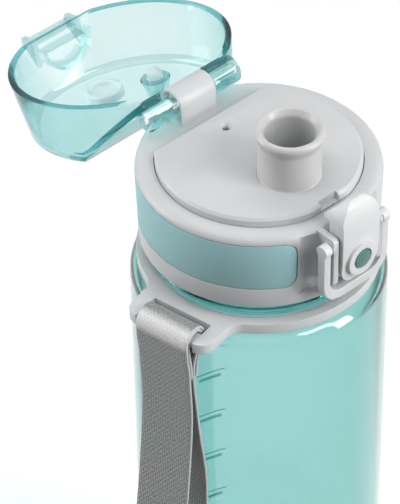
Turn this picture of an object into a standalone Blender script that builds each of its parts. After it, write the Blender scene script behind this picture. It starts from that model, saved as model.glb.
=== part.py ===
# Drinking bottle with a threaded cap, a hinged dome lid, a push latch, a lock bail and a wrist strap.
# Metres, +Z up. The origin is the middle of the base. The hinge is at +Y and the latch at -Y.
# The cap is screwed down, the lid hangs open on its stop, and the bail hangs under the latch.

from math import acos, asin, atan2, ceil, cos, hypot, pi, radians, sin, sqrt, tan

import bmesh
import bpy
from mathutils import Matrix, Vector

# Fits and fineness
GAP = 0.0003
OVERRUN = 0.004
SINK = 0.0006
ROUND_STEPS = 48
SMALL_STEPS = 16
ARC_STEPS = 3
SMOOTH_ANGLE = radians(32)
SAME_POINT = 0.0000001

# Bottle body
BODY_RADIUS = 0.0365
BODY_HEIGHT = 0.1833
BODY_WALL = 0.0018
BASE_THICKNESS = 0.0020
BASE_EDGE_RADIUS = 0.0050
FOOT_RADIUS = 0.0245
FOOT_RECESS = 0.0010
SHOULDER_RADIUS = 0.0050
NECK_STEP = 0.0021
NECK_HEIGHT = 0.0275
BEAD_REACH = 0.0009
BEAD_HEIGHT = 0.0024
BEAD_ROUNDING = 0.0006
FINISH_WALL = 0.0018
FINISH_BORE_RADIUS = 0.0269
FINISH_STEP = 0.0010

# Thread between the neck and the cap
THREAD_PITCH = 0.0045
THREAD_TURNS = 1.25
THREAD_START = 0.0177
THREAD_ROOT = 0.0018
THREAD_CREST = 0.0010
THREAD_DEPTH = 0.00105
CAP_THREAD_DEPTH = 0.0009
THREAD_PLAY = 0.00045
THREAD_RUNOUT_STEPS = 4

# Strap ring
RING_HEIGHT = 0.0033
RING_WIDTH = 0.0034
RING_PLAY = 0.0005
TAB_TURN = radians(191)
TAB_HALF_WIDTH = 0.0139
TAB_FILLET = 0.0050
TAB_CORNER = 0.0040
SLOT_HALF_LENGTH = 0.0096
SLOT_SETBACK = 0.0012
SLOT_WIDTH = 0.0035
BAR_OVERHANG = 0.0027
BAR_WIDTH = 0.0050
BAR_HEIGHT = 0.0030
BAR_ROUNDING = 0.0014
TAB_END_LIP = 0.0004

# Wrist strap
STRAP_WIDTH = 0.0174
STRAP_THICKNESS = 0.0010
STRAP_EYE_WALL = 0.0021
STRAP_SEWN_LENGTH = 0.0180
STRAP_LENGTH = 0.1388
# Side view of the loop: how far down as a share of its length, and how far out as a share of its eye
STRAP_FRONT_SHARES = [
    (0.013, 0.870),
    (0.038, 0.826),
    (0.063, 0.703),
    (0.095, 0.642),
    (0.139, 0.581),
    (0.193, 0.520),
    (0.250, 0.587),
    (0.346, 0.844),
    (0.423, 1.101),
    (0.492, 1.370),
    (0.571, 1.672),
    (0.657, 1.937),
    (0.737, 2.019),
    (0.816, 1.896),
    (0.888, 1.529),
]
STRAP_FOLD_SHARES = [(0.946, 1.040), (0.984, 0.500), (1.000, -0.020), (0.980, -0.560)]
STRAP_REAR_SHARES = [
    (0.931, -0.877),
    (0.859, -0.958),
    (0.758, -0.968),
    (0.492, -0.968),
    (0.409, -0.938),
    (0.351, -0.754),
    (0.276, -0.428),
    (0.178, -0.122),
    (0.139, 0.000),
    (0.106, 0.080),
    (0.098, -0.110),
    (0.090, -0.195),
    (0.052, -0.265),
    (0.027, -0.489),
    (0.013, -0.870),
]

# Gasket and inner cap
GASKET_THICKNESS = 0.0019
GASKET_INNER_RADIUS = 0.0270
CAP_WALL = 0.0012
CAP_FLANGE_THICKNESS = 0.0020
CAP_SKIRT_LENGTH = 0.0198
DECK_RISE = 0.0026
DECK_THICKNESS = 0.0022
DECK_STEP = 0.0027
DECK_CHORD = 0.0200
DECK_FRONT_FLAT = 0.0009
DECK_EDGE = 0.0008
DECK_WALL = 0.0022
NOTCH_WIDTH = 0.0066
NOTCH_LENGTH = 0.0015
NOTCH_DEPTH = 0.0024

# Outer collar
COLLAR_WALL = 0.0027
COLLAR_TAPER = 0.0007
COLLAR_HEIGHT = 0.0245
COLLAR_FILLET = 0.0024
LEDGE_THICKNESS = 0.0018
LATCH_FLAT_DEPTH = 0.0009
SCOOP_RADIUS = 0.0060
SCOOP_SPREAD = 0.0130
SCOOP_OUTSET = 0.0021
SCOOP_HEIGHT = 0.0205
SCOOP_TOP_DROP = 0.0009
FLAT_HALF_WIDTH = 0.0070

# Grip band
BAND_THICKNESS = 0.0007
BAND_TOP_DROP = 0.0024
BAND_HEIGHT = 0.0155
BAND_CORNER = 0.0035
BAND_FIRST_TURN = radians(-44)
BAND_LAST_TURN = radians(244)
BAND_STEPS = 36

# Spout
SPOUT_OFFSET = 0.0122
SPOUT_BORE_RADIUS = 0.0070
SPOUT_TUBE_RADIUS = 0.0088
SPOUT_LIP_RADIUS = 0.0101
SPOUT_LIP_ROUNDING = 0.0015
SPOUT_CREST_ROUNDING = 0.0008
SPOUT_FUNNEL_DEPTH = 0.0024
SPOUT_FUNNEL_ROUNDING = 0.0020
SPOUT_RISE = 0.0161
SPOUT_FLANGE_RADIUS = 0.0108
SPOUT_FLANGE_THICKNESS = 0.0015
SPOUT_WAIST = 0.0001
SPOUT_WAIST_ROUNDING = 0.0025
SPOUT_WAIST_SHARE = 0.70

# Vent
VENT_X = 0.0005
VENT_Y = 0.0138
VENT_RADIUS = 0.0010
VENT_SINK_RADIUS = 0.0018
VENT_SINK_DEPTH = 0.0009
VALVE_RADIUS = 0.0026
VALVE_LENGTH = 0.0030
VALVE_SOCKET_WALL = 0.0012

# Hinge
HINGE_INSET = 0.0058
HINGE_RISE = 0.0034
KNUCKLE_RADIUS = 0.00428
KNUCKLE_HALF_LENGTH = 0.0065
LID_KNUCKLE_LENGTH = 0.0107
KNUCKLE_PLAY = 0.0004
HINGE_PIN_RADIUS = 0.0015
HINGE_OPEN_TURN = radians(195)
HINGE_SPRING_WIRE = 0.0011
HINGE_SPRING_TURNS = 6

# Lid, drawn closed
LID_SIDE_ROOM = 0.0017
LID_LEAN = 0.0027
LID_HEIGHT = 0.0200
LID_WALL = 0.0020
LID_ROOF = 0.0016
LID_FRONT_WALL = 0.0012
LID_SEAT_GAP = 0.0004
LID_TOP_FILLET = 0.0030
FACET_TOP_Y = 0.0100
FACET_FOOT_OUTSET = 0.0019
FACET_FOOT_RISE = 0.0012
LID_TAIL_LENGTH = 0.0060
LID_CUTOUT_RADIUS = 0.0058
ARCH_RADIUS = 0.0074
ARCH_WALL = 0.0016
ARCH_DEPTH = 0.0038
ARCH_FLOOR = 0.0015
EAR_THICKNESS = 0.0020
EAR_REACH = 0.0055
EAR_HEIGHT = 0.0118
EAR_FOOT_SHARE = 0.96
EAR_TIP_SHARE = 0.31
LIP_REACH = 0.0039
LIP_HALF_WIDTH = 0.0079
CUP_RIM_RISE = 0.0026
CUP_RADIUS = 0.0044
CUP_STEM_RADIUS = 0.00275
CUP_STEM_RISE = 0.0090
CUP_DEPTH = 0.0038
CUP_FLARE_SHARE = 0.60
PLUG_RADIUS = 0.0022
PLUG_DIP = 0.0005
SEAL_RADIUS = 0.0059
SEAL_ENTRY = 0.0030
SEAL_WALL = 0.0016

# Latch
LATCH_PIVOT_OUTSET = 0.0035
LATCH_PIVOT_DROP = 0.0062
LATCH_PIN_RADIUS = 0.0010
LATCH_PIN_BITE = 0.0015
CHEEK_INSIDE = 0.0073
CHEEK_THICKNESS = 0.0018
CHEEK_OUTSET = 0.0053
CHEEK_TOP_DROP = 0.0029
CHEEK_HEIGHT = 0.0166
CHEEK_CORNER = 0.0014
CHEEK_BOSS_RADIUS = 0.0020
CHEEK_BOSS_REACH = 0.0003
SHELF_THICKNESS = 0.0012
SHELF_OUTSET = 0.0013
LEVER_HALF_WIDTH = 0.0068
LEVER_TOP_RISE = 0.0066
LEVER_HOOK_ROOM = 0.0003
LEVER_HOOK_BITE = 0.0010
LEVER_BOTTOM_DROP = 0.0199
LEVER_ROOM = 0.0011
LEVER_DEPTH = 0.0054
LEVER_FOOT_DEPTH = 0.0023
LEVER_HEEL_DROP = 0.0028
LEVER_STEP_DROP = 0.0058
LEVER_FOOT_CORNER = 0.0058
# Bowed front, from the foot up: shares of the lever's depth in from the front, and of its height
LEVER_FRONT_SHARES = [(0.15, 0.00), (0.00, 0.33), (0.00, 0.73), (0.185, 0.94), (0.46, 1.00)]
# Hook, from its neck down: shares of its bite back from the nose, and of the lever's top rise
LEVER_HOOK_SHARES = [(0.80, 0.344), (0.00, 0.197), (0.20, 0.046)]
BOSS_DROP = 0.0130
BOSS_RADIUS = 0.0052
BOSS_RISE = 0.0009
INLAY_RADIUS = 0.0029
INLAY_THICKNESS = 0.0007
LATCH_SPRING_DROP = 0.0160
LATCH_SPRING_RADIUS = 0.0016
LATCH_SPRING_WIRE = 0.0005
LATCH_SPRING_TURNS = 3

# Lock bail
BAIL_ARM_WIDTH = 0.0024
BAIL_ARM_THICKNESS = 0.0026
BAIL_BAR_HEIGHT = 0.0030
BAIL_LENGTH = 0.0190
BAIL_CORNER = 0.0065
BAIL_EYE_RADIUS = 0.0020

# Heights and radii that follow from the sizes above
FINISH_RADIUS = FINISH_BORE_RADIUS + FINISH_WALL
NECK_RADIUS = FINISH_RADIUS + NECK_STEP
RIM_Z = BODY_HEIGHT + NECK_HEIGHT
GASKET_Z = RIM_Z + GAP
FLANGE_Z = GASKET_Z + GASKET_THICKNESS + GAP
FLANGE_TOP_Z = FLANGE_Z + CAP_FLANGE_THICKNESS
LEDGE_Z = FLANGE_TOP_Z + GAP
LEDGE_TOP_Z = LEDGE_Z + LEDGE_THICKNESS
DECK_Z = LEDGE_TOP_Z + DECK_RISE
RING_Z = BODY_HEIGHT + GAP
RING_TOP_Z = RING_Z + RING_HEIGHT
RING_MID_Z = RING_Z + RING_HEIGHT / 2
BEAD_Z = RING_TOP_Z + RING_PLAY
BEAD_TOP_Z = BEAD_Z + BEAD_HEIGHT
BEAD_RADIUS = NECK_RADIUS + BEAD_REACH
CAP_BORE_RADIUS = FINISH_RADIUS + THREAD_DEPTH + THREAD_PLAY
CAP_RADIUS = CAP_BORE_RADIUS + CAP_WALL
COLLAR_BORE_RADIUS = CAP_RADIUS + GAP
COLLAR_RADIUS = COLLAR_BORE_RADIUS + COLLAR_WALL
DECK_RADIUS = CAP_RADIUS - DECK_STEP
DECK_FRONT = DECK_RADIUS - DECK_FRONT_FLAT
LID_RADIUS = DECK_RADIUS + LID_SIDE_ROOM + LID_WALL
LID_TOP_RADIUS = LID_RADIUS - LID_LEAN
COLLAR_Z = LEDGE_TOP_Z - COLLAR_HEIGHT
RING_BORE_RADIUS = NECK_RADIUS + GAP
RING_RADIUS = RING_BORE_RADIUS + RING_WIDTH
BAR_START = max(RING_RADIUS + SLOT_SETBACK + SLOT_WIDTH, BODY_RADIUS + BAR_OVERHANG)
SLOT_START = BAR_START - SLOT_WIDTH
BAR_CENTRE = BAR_START + BAR_WIDTH / 2
BAR_REACH = hypot(BAR_WIDTH / 2 - BAR_ROUNDING, BAR_HEIGHT / 2 - BAR_ROUNDING) + BAR_ROUNDING
STRAP_EYE_BORE = BAR_REACH + GAP
STRAP_EYE_RADIUS = STRAP_EYE_BORE + STRAP_EYE_WALL
TAB_END = BAR_START + BAR_WIDTH + TAB_END_LIP
HINGE_SETBACK = COLLAR_RADIUS - HINGE_INSET
FACET_FOOT_Y = HINGE_SETBACK + FACET_FOOT_OUTSET
HINGE_Z = DECK_Z + HINGE_RISE
SCOOP_OFFSET = COLLAR_RADIUS + SCOOP_OUTSET
LATCH_FLAT = COLLAR_RADIUS - LATCH_FLAT_DEPTH
LATCH_PIVOT_Y = LATCH_FLAT + LATCH_PIVOT_OUTSET
CHEEK_REACH = LATCH_FLAT + CHEEK_OUTSET
SHELF_REACH = LATCH_FLAT + SHELF_OUTSET
LEVER_BACK = LATCH_FLAT + LEVER_ROOM
LEVER_FRONT = LEVER_BACK + LEVER_DEPTH
LEVER_LOWER_BACK = LEVER_FRONT - LEVER_FOOT_DEPTH
LATCH_Z = DECK_Z - LATCH_PIVOT_DROP
LID_Z = LEDGE_TOP_Z + LID_SEAT_GAP
LID_TOP_Z = LID_Z + LID_HEIGHT
LID_CEILING_Z = LID_TOP_Z - LID_ROOF
LID_FRONT = DECK_FRONT + GAP + LID_FRONT_WALL
SPOUT_TOP_Z = DECK_Z + SPOUT_RISE
DECK_UNDER_Z = DECK_Z - DECK_THICKNESS
FACET_FOOT_Z = LID_Z + FACET_FOOT_RISE
EAR_INSIDE = LEVER_HALF_WIDTH + GAP
EAR_OUTSIDE = EAR_INSIDE + EAR_THICKNESS
CHEEK_OUTSIDE = CHEEK_INSIDE + CHEEK_THICKNESS
ARCH_CENTRE = (0, DECK_Z + GAP)
BAIL_INSIDE = CHEEK_OUTSIDE + CHEEK_BOSS_REACH + GAP
BAIL_OUTSIDE = BAIL_INSIDE + BAIL_ARM_WIDTH
LATCH_PIN_REACH = BAIL_INSIDE + LATCH_PIN_BITE


def clear_scene():
    for thing in list(bpy.data.objects):
        bpy.data.objects.remove(thing, do_unlink=True)


def material(name, colour, roughness, metallic=0.0, alpha=1.0):
    made = bpy.data.materials.new(name)
    made.use_nodes = True
    shader = made.node_tree.nodes["Principled BSDF"]
    shader.inputs["Base Color"].default_value = (*colour, 1.0)
    shader.inputs["Roughness"].default_value = roughness
    shader.inputs["Metallic"].default_value = metallic
    shader.inputs["Alpha"].default_value = alpha
    return made


def add_object(name, shape, surface=None):
    shape.normal_update()
    bmesh.ops.recalc_face_normals(shape, faces=shape.faces)
    mesh = bpy.data.meshes.new(name)
    shape.to_mesh(mesh)
    shape.free()
    mesh.shade_smooth()
    mesh.set_sharp_from_angle(angle=SMOOTH_ANGLE)
    made = bpy.data.objects.new(name, mesh)
    bpy.context.collection.objects.link(made)
    if surface is None:
        made.hide_render = True
        made.display_type = "WIRE"
    else:
        mesh.materials.append(surface)
    return made


def combine(target, tool, operation):
    """Live Boolean whose tool follows its target."""
    tool.parent = target
    step = target.modifiers.new(operation.title() + " " + tool.name, "BOOLEAN")
    step.operation = operation
    step.solver = "EXACT"
    step.object = tool


def cut(target, shape, name):
    combine(target, add_object(name, shape), "DIFFERENCE")


def join(target, shape, name):
    combine(target, add_object(name, shape), "UNION")


def arc(centre, radius, first, last, steps=ARC_STEPS):
    turns = [first + (last - first) * i / steps for i in range(steps + 1)]
    return [(centre[0] + radius * cos(turn), centre[1] + radius * sin(turn)) for turn in turns]


def rounded(corners, steps=ARC_STEPS):
    """Closed outline of corners (x, y, radius), each rounded by an arc of its radius."""
    points = []
    for i, (x, y, radius) in enumerate(corners):
        if radius == 0:
            points.append((x, y))
            continue
        here = Vector((x, y))
        before = (Vector(corners[i - 1][:2]) - here).normalized()
        after = (Vector(corners[(i + 1) % len(corners)][:2]) - here).normalized()
        half = acos(max(-1, min(1, before.dot(after)))) / 2
        centre = here + (before + after).normalized() * radius / sin(half)
        start = here + before * radius / tan(half) - centre
        end = here + after * radius / tan(half) - centre
        first = atan2(start.y, start.x)
        swing = (atan2(end.y, end.x) - first + pi) % (2 * pi) - pi
        points += arc(centre, radius, first, first + swing, steps)
    apart = [hypot(x - points[i - 1][0], y - points[i - 1][1]) for i, (x, y) in enumerate(points)]
    return [point for point, distance in zip(points, apart) if distance > SAME_POINT]


def smooth_line(points, per_span=4):
    """Open Catmull-Rom curve through the points."""
    ends = [points[0]] + list(points) + [points[-1]]
    line = []
    for i in range(1, len(ends) - 2):
        a, b, c, d = (Vector(ends[i + k]) for k in (-1, 0, 1, 2))
        for k in range(per_span):
            t = k / per_span
            bend = (2 * b + (c - a) * t + (2 * a - 5 * b + 4 * c - d) * t**2 + (3 * b - a - 3 * c + d) * t**3) / 2
            line.append(tuple(bend))
    line.append(tuple(points[-1]))
    return line


def loft(sections, shape=None):
    """Closed body through sections of equal count, each a list of points (x, y, z)."""
    shape = shape or bmesh.new()
    rows = [[shape.verts.new(point) for point in section] for section in sections]
    for lower, upper in zip(rows, rows[1:]):
        for i in range(len(lower)):
            k = (i + 1) % len(lower)
            shape.faces.new((lower[i], lower[k], upper[k], upper[i]))
    shape.faces.new(rows[0])
    shape.faces.new(rows[-1])
    return shape


def placed(outline, axis, level):
    """An outline set square to the axis: (y, z) for X, (x, z) for Y and (x, y) for Z."""
    if axis == "X":
        return [(level, u, v) for u, v in outline]
    if axis == "Y":
        return [(u, level, v) for u, v in outline]
    return [(u, v, level) for u, v in outline]


def prism(outline, axis, low, high, shape=None):
    return loft([placed(outline, axis, low), placed(outline, axis, high)], shape)


def box(low, high, shape=None):
    outline = [(low[0], low[1]), (high[0], low[1]), (high[0], high[1]), (low[0], high[1])]
    return prism(outline, "Z", low[2], high[2], shape)


def rod(centre, radius, axis, low, high, steps=SMALL_STEPS, shape=None):
    return prism(arc(centre, radius, 0, 2 * pi, steps)[:-1], axis, low, high, shape)


def lathe(profile, steps=ROUND_STEPS, centre=(0, 0)):
    """Body turned about the vertical through the centre from points (radius, z)."""
    shape = bmesh.new()
    rings = []
    for radius, z in profile:
        count = 1 if radius == 0 else steps
        turns = [2 * pi * i / steps for i in range(count)]
        rings.append([shape.verts.new((centre[0] + radius * cos(t), centre[1] + radius * sin(t), z)) for t in turns])
    for inner, outer in zip(rings, rings[1:] + rings[:1]):
        if len(inner) == len(outer) == 1:
            continue
        for i in range(steps):
            k = (i + 1) % steps
            corners = [inner[i % len(inner)], inner[k % len(inner)], outer[k % len(outer)], outer[i % len(outer)]]
            shape.faces.new(list(dict.fromkeys(corners)))
    return shape


def mirrored(shape):
    """The shape and its copy on the other side of the bottle, across X."""
    copied = bmesh.ops.duplicate(shape, geom=shape.verts[:] + shape.edges[:] + shape.faces[:])
    corners = [item for item in copied["geom"] if isinstance(item, bmesh.types.BMVert)]
    for corner in corners:
        corner.co.x = -corner.co.x
    return shape


def thread_ridge(wall_radius, depth, start_z, outward):
    """Right-hand ridge on a wall. Its root is sunk in the wall and both ends run out into it."""
    side = 1 if outward else -1
    count = ceil(THREAD_TURNS * ROUND_STEPS)
    sections = []
    for i in range(count + 1):
        turn = 2 * pi * i / ROUND_STEPS
        z = start_z + THREAD_PITCH * i / ROUND_STEPS
        fade = min(1, i / THREAD_RUNOUT_STEPS, (count - i) / THREAD_RUNOUT_STEPS)
        root = wall_radius - side * SINK
        crest = wall_radius + side * (depth * fade - SINK / 2 * (1 - fade))
        corners = [
            (root, z - THREAD_ROOT / 2),
            (crest, z - THREAD_CREST / 2),
            (crest, z + THREAD_CREST / 2),
            (root, z + THREAD_ROOT / 2),
        ]
        sections.append([(r * cos(turn), r * sin(turn), height) for r, height in corners])
    return loft(sections)


def bottle_body(surface):
    inner_radius = BODY_RADIUS - BODY_WALL
    inner_neck = NECK_RADIUS - BODY_WALL
    floor_z = FOOT_RECESS + BASE_THICKNESS
    edge = BASE_EDGE_RADIUS - BODY_WALL
    throat_z = BODY_HEIGHT - BODY_WALL
    shoulder = min(SHOULDER_RADIUS, BODY_RADIUS - NECK_RADIUS)
    profile = rounded(
        [
            (0, FOOT_RECESS, 0),
            (FOOT_RADIUS, FOOT_RECESS, 0),
            (FOOT_RADIUS + FOOT_RECESS, 0, 0),
            (BODY_RADIUS, 0, BASE_EDGE_RADIUS),
            (BODY_RADIUS, BODY_HEIGHT, shoulder),
            (NECK_RADIUS, BODY_HEIGHT, 0),
            (NECK_RADIUS, BEAD_Z, 0),
            (BEAD_RADIUS, BEAD_Z, BEAD_ROUNDING),
            (BEAD_RADIUS, BEAD_TOP_Z, BEAD_ROUNDING),
            (FINISH_RADIUS, BEAD_TOP_Z + FINISH_STEP, 0),
            (FINISH_RADIUS, RIM_Z, BEAD_ROUNDING),
            (FINISH_BORE_RADIUS, RIM_Z, BEAD_ROUNDING),
            (FINISH_BORE_RADIUS, BEAD_TOP_Z, 0),
            (inner_neck, BEAD_Z, 0),
            (inner_neck, throat_z, 0),
            (inner_radius, throat_z, shoulder - BODY_WALL),
            (inner_radius, floor_z, edge),
            (0, floor_z, 0),
        ]
    )
    body = add_object("bottle_body", lathe(profile), surface)
    ridge = thread_ridge(FINISH_RADIUS, THREAD_DEPTH, BODY_HEIGHT + THREAD_START, True)
    join(body, ridge, "neck_thread")
    return body


def turned_to_tab(shape):
    bmesh.ops.rotate(shape, cent=(0, 0, 0), matrix=Matrix.Rotation(TAB_TURN, 3, "Z"), verts=shape.verts)
    return shape


def strap_ring(surface):
    centre_x = sqrt((RING_RADIUS + TAB_FILLET) ** 2 - (TAB_HALF_WIDTH + TAB_FILLET) ** 2)
    centre_y = TAB_HALF_WIDTH + TAB_FILLET
    meet = atan2(centre_y, centre_x)
    corners = rounded(
        [
            (centre_x, -TAB_HALF_WIDTH, 0),
            (TAB_END, -TAB_HALF_WIDTH, TAB_CORNER),
            (TAB_END, TAB_HALF_WIDTH, TAB_CORNER),
            (centre_x, TAB_HALF_WIDTH, 0),
        ]
    )
    upper = arc((centre_x, centre_y), TAB_FILLET, -pi / 2, meet - pi)[1:]
    lower = [(x, -y) for x, y in reversed(upper)]
    rest = arc((0, 0), RING_RADIUS, meet, 2 * pi - meet, ROUND_STEPS)[1:-1]
    plate = prism(corners + upper + rest + lower, "Z", RING_Z, RING_TOP_Z)
    ring = add_object("strap_ring", turned_to_tab(plate), surface)
    bore = rod((0, 0), RING_BORE_RADIUS, "Z", RING_Z - OVERRUN, RING_TOP_Z + OVERRUN, ROUND_STEPS)
    cut(ring, bore, "ring_bore")
    window_low = (SLOT_START, -SLOT_HALF_LENGTH, RING_Z - OVERRUN)
    window_high = (TAB_END + OVERRUN, SLOT_HALF_LENGTH, RING_TOP_Z + OVERRUN)
    cut(ring, turned_to_tab(box(window_low, window_high)), "tab_window")
    low, high = RING_MID_Z - BAR_HEIGHT / 2, RING_MID_Z + BAR_HEIGHT / 2
    section = rounded(
        [
            (BAR_START, low, BAR_ROUNDING),
            (BAR_START + BAR_WIDTH, low, BAR_ROUNDING),
            (BAR_START + BAR_WIDTH, high, BAR_ROUNDING),
            (BAR_START, high, BAR_ROUNDING),
        ]
    )
    reach = SLOT_HALF_LENGTH + SLOT_SETBACK
    join(ring, turned_to_tab(prism(section, "Y", -reach, reach)), "tab_bar")
    return ring


def strap_outline():
    """Side view of the sewn loop as (distance from the bottle's axis, z), and the slit inside it."""
    shares = STRAP_FRONT_SHARES + STRAP_FOLD_SHARES + STRAP_REAR_SHARES
    points = [
        (BAR_CENTRE + across * STRAP_EYE_RADIUS, RING_MID_Z - down * STRAP_LENGTH)
        for down, across in shares
    ]
    outside = smooth_line(points)
    inside = []
    for before, here, after in zip(outside, outside[1:], outside[2:]):
        along = (Vector(after) - Vector(before)).normalized()
        point = Vector(here) + Vector((along.y, -along.x)) * STRAP_THICKNESS
        if point.y < RING_MID_Z - STRAP_SEWN_LENGTH:
            inside.append(tuple(point))
    return outside, inside


def wrist_strap(surface):
    outside, inside = strap_outline()
    eye = (BAR_CENTRE, RING_MID_Z)
    half = STRAP_WIDTH / 2
    strap = add_object("wrist_strap", turned_to_tab(prism(outside, "Y", -half, half)), surface)
    round_eye = rod(eye, STRAP_EYE_RADIUS, "Y", -half, half, ROUND_STEPS // 2)
    join(strap, turned_to_tab(round_eye), "strap_eye")
    hole = rod(eye, STRAP_EYE_BORE, "Y", -half - OVERRUN, half + OVERRUN, ROUND_STEPS // 2)
    cut(strap, turned_to_tab(hole), "strap_eye_hole")
    slit = prism(inside, "Y", -half - OVERRUN, half + OVERRUN)
    cut(strap, turned_to_tab(slit), "strap_loop_hole")
    return strap


def cap_gasket(surface):
    outer = CAP_BORE_RADIUS - GAP
    profile = [
        (GASKET_INNER_RADIUS, GASKET_Z),
        (outer, GASKET_Z),
        (outer, GASKET_Z + GASKET_THICKNESS),
        (GASKET_INNER_RADIUS, GASKET_Z + GASKET_THICKNESS),
    ]
    return add_object("cap_gasket", lathe(profile), surface)


def deck_outline(inset):
    """The deck seen from above: a circle with a chord at the hinge and a short flat at the latch."""
    radius = DECK_RADIUS - inset
    chord = DECK_CHORD - inset
    front = DECK_FRONT - inset
    back_turn = asin(chord / radius)
    front_turn = acos(front / radius)
    right = arc((0, 0), radius, front_turn - pi / 2, back_turn, ROUND_STEPS // 2)
    left = [(-x, y) for x, y in reversed(right)]
    return right + left


def inner_cap(surface):
    skirt_z = FLANGE_Z - CAP_SKIRT_LENGTH
    profile = [
        (0, FLANGE_Z),
        (CAP_BORE_RADIUS, FLANGE_Z),
        (CAP_BORE_RADIUS, skirt_z),
        (CAP_RADIUS, skirt_z),
        (CAP_RADIUS, FLANGE_TOP_Z),
        (0, FLANGE_TOP_Z),
    ]
    cap = add_object("inner_cap", lathe(profile), surface)
    levels = [(0, FLANGE_TOP_Z - SINK), (0, DECK_Z - DECK_EDGE), (DECK_EDGE, DECK_Z)]
    deck = loft([placed(deck_outline(inset), "Z", z) for inset, z in levels])
    join(cap, deck, "deck")
    pocket = prism(deck_outline(DECK_WALL), "Z", FLANGE_Z - OVERRUN, DECK_UNDER_Z)
    cut(cap, pocket, "deck_pocket")
    vent = (VENT_X, VENT_Y)
    socket_low = DECK_UNDER_Z - VALVE_LENGTH
    socket_radius = VALVE_RADIUS + GAP + VALVE_SOCKET_WALL
    join(cap, rod(vent, socket_radius, "Z", socket_low, DECK_UNDER_Z + SINK), "valve_socket")
    valve_hole = rod(vent, VALVE_RADIUS + GAP, "Z", socket_low - OVERRUN, DECK_UNDER_Z)
    cut(cap, valve_hole, "valve_hole")
    vent_profile = [
        (0, DECK_UNDER_Z - OVERRUN),
        (VENT_RADIUS, DECK_UNDER_Z - OVERRUN),
        (VENT_RADIUS, DECK_Z - VENT_SINK_DEPTH),
        (VENT_SINK_RADIUS, DECK_Z),
        (VENT_SINK_RADIUS, DECK_Z + OVERRUN),
        (0, DECK_Z + OVERRUN),
    ]
    cut(cap, lathe(vent_profile, SMALL_STEPS, vent), "vent_hole")
    spout = (0, -SPOUT_OFFSET)
    hole = rod(spout, SPOUT_TUBE_RADIUS + GAP, "Z", DECK_UNDER_Z - OVERRUN, DECK_Z + OVERRUN, 2 * SMALL_STEPS)
    cut(cap, hole, "spout_hole")
    half_notch = NOTCH_WIDTH / 2
    notch_low = (-half_notch, -DECK_FRONT - OVERRUN, DECK_Z - NOTCH_DEPTH)
    notch_high = (half_notch, -DECK_FRONT + NOTCH_LENGTH, DECK_Z + OVERRUN)
    cut(cap, box(notch_low, notch_high), "front_notch")
    start_z = BODY_HEIGHT + THREAD_START - THREAD_PITCH / 2
    join(cap, thread_ridge(CAP_BORE_RADIUS, CAP_THREAD_DEPTH, start_z, False), "cap_thread")
    return cap


def collar_radius(z):
    """Outer radius of the tapered collar at a height."""
    return COLLAR_RADIUS - COLLAR_TAPER * (LEDGE_TOP_Z - z) / COLLAR_HEIGHT


def wrapped_band(first, last, low, high, corner, inner_radius, outer_radius):
    """Plate bent round the collar with rounded ends. The radii are functions of z."""
    radius = COLLAR_RADIUS
    end_turns = [corner * (1 - cos(pi / 2 * i / ARC_STEPS)) / radius for i in range(ARC_STEPS)]
    inner_span = (last - first) - 2 * corner / radius
    middle = [first + corner / radius + inner_span * i / BAND_STEPS for i in range(BAND_STEPS + 1)]
    turns = [first + t for t in end_turns] + middle + [last - t for t in reversed(end_turns)]
    sections = []
    for turn in turns:
        reach = min(corner, (turn - first) * radius, (last - turn) * radius)
        trim = corner - sqrt(max(0, corner**2 - (corner - reach) ** 2))
        bottom, top = low + trim, high - trim
        corners = [
            (inner_radius(bottom), bottom),
            (outer_radius(bottom), bottom),
            (outer_radius(top), top),
            (inner_radius(top), top),
        ]
        sections.append([(r * cos(turn), r * sin(turn), z) for r, z in corners])
    return loft(sections)


def band_levels():
    top = LEDGE_TOP_Z - BAND_TOP_DROP
    return top - BAND_HEIGHT, top


def grip_band(surface):
    low, high = band_levels()

    def inner(z):
        return collar_radius(z) - BAND_THICKNESS

    shape = wrapped_band(BAND_FIRST_TURN, BAND_LAST_TURN, low, high, BAND_CORNER, inner, collar_radius)
    return add_object("grip_band", shape, surface)


def cut_band_recess(collar):
    low, high = band_levels()
    spare = GAP / COLLAR_RADIUS

    def floor(z):
        return collar_radius(z) - BAND_THICKNESS - GAP

    def outside(z):
        return collar_radius(z) + OVERRUN

    first, last = BAND_FIRST_TURN - spare, BAND_LAST_TURN + spare
    recess = wrapped_band(first, last, low - GAP, high + GAP, BAND_CORNER + GAP, floor, outside)
    cut(collar, recess, "band_recess")


def hinge_knuckle_outline():
    """Arch of the collar's middle knuckle, with its web down to the ledge."""
    foot_z = LEDGE_TOP_Z - LEDGE_THICKNESS / 2
    top = arc((HINGE_SETBACK, HINGE_Z), KNUCKLE_RADIUS, 0, pi, SMALL_STEPS // 2)
    return top + [(HINGE_SETBACK - KNUCKLE_RADIUS, foot_z), (HINGE_SETBACK + KNUCKLE_RADIUS, foot_z)]


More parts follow.
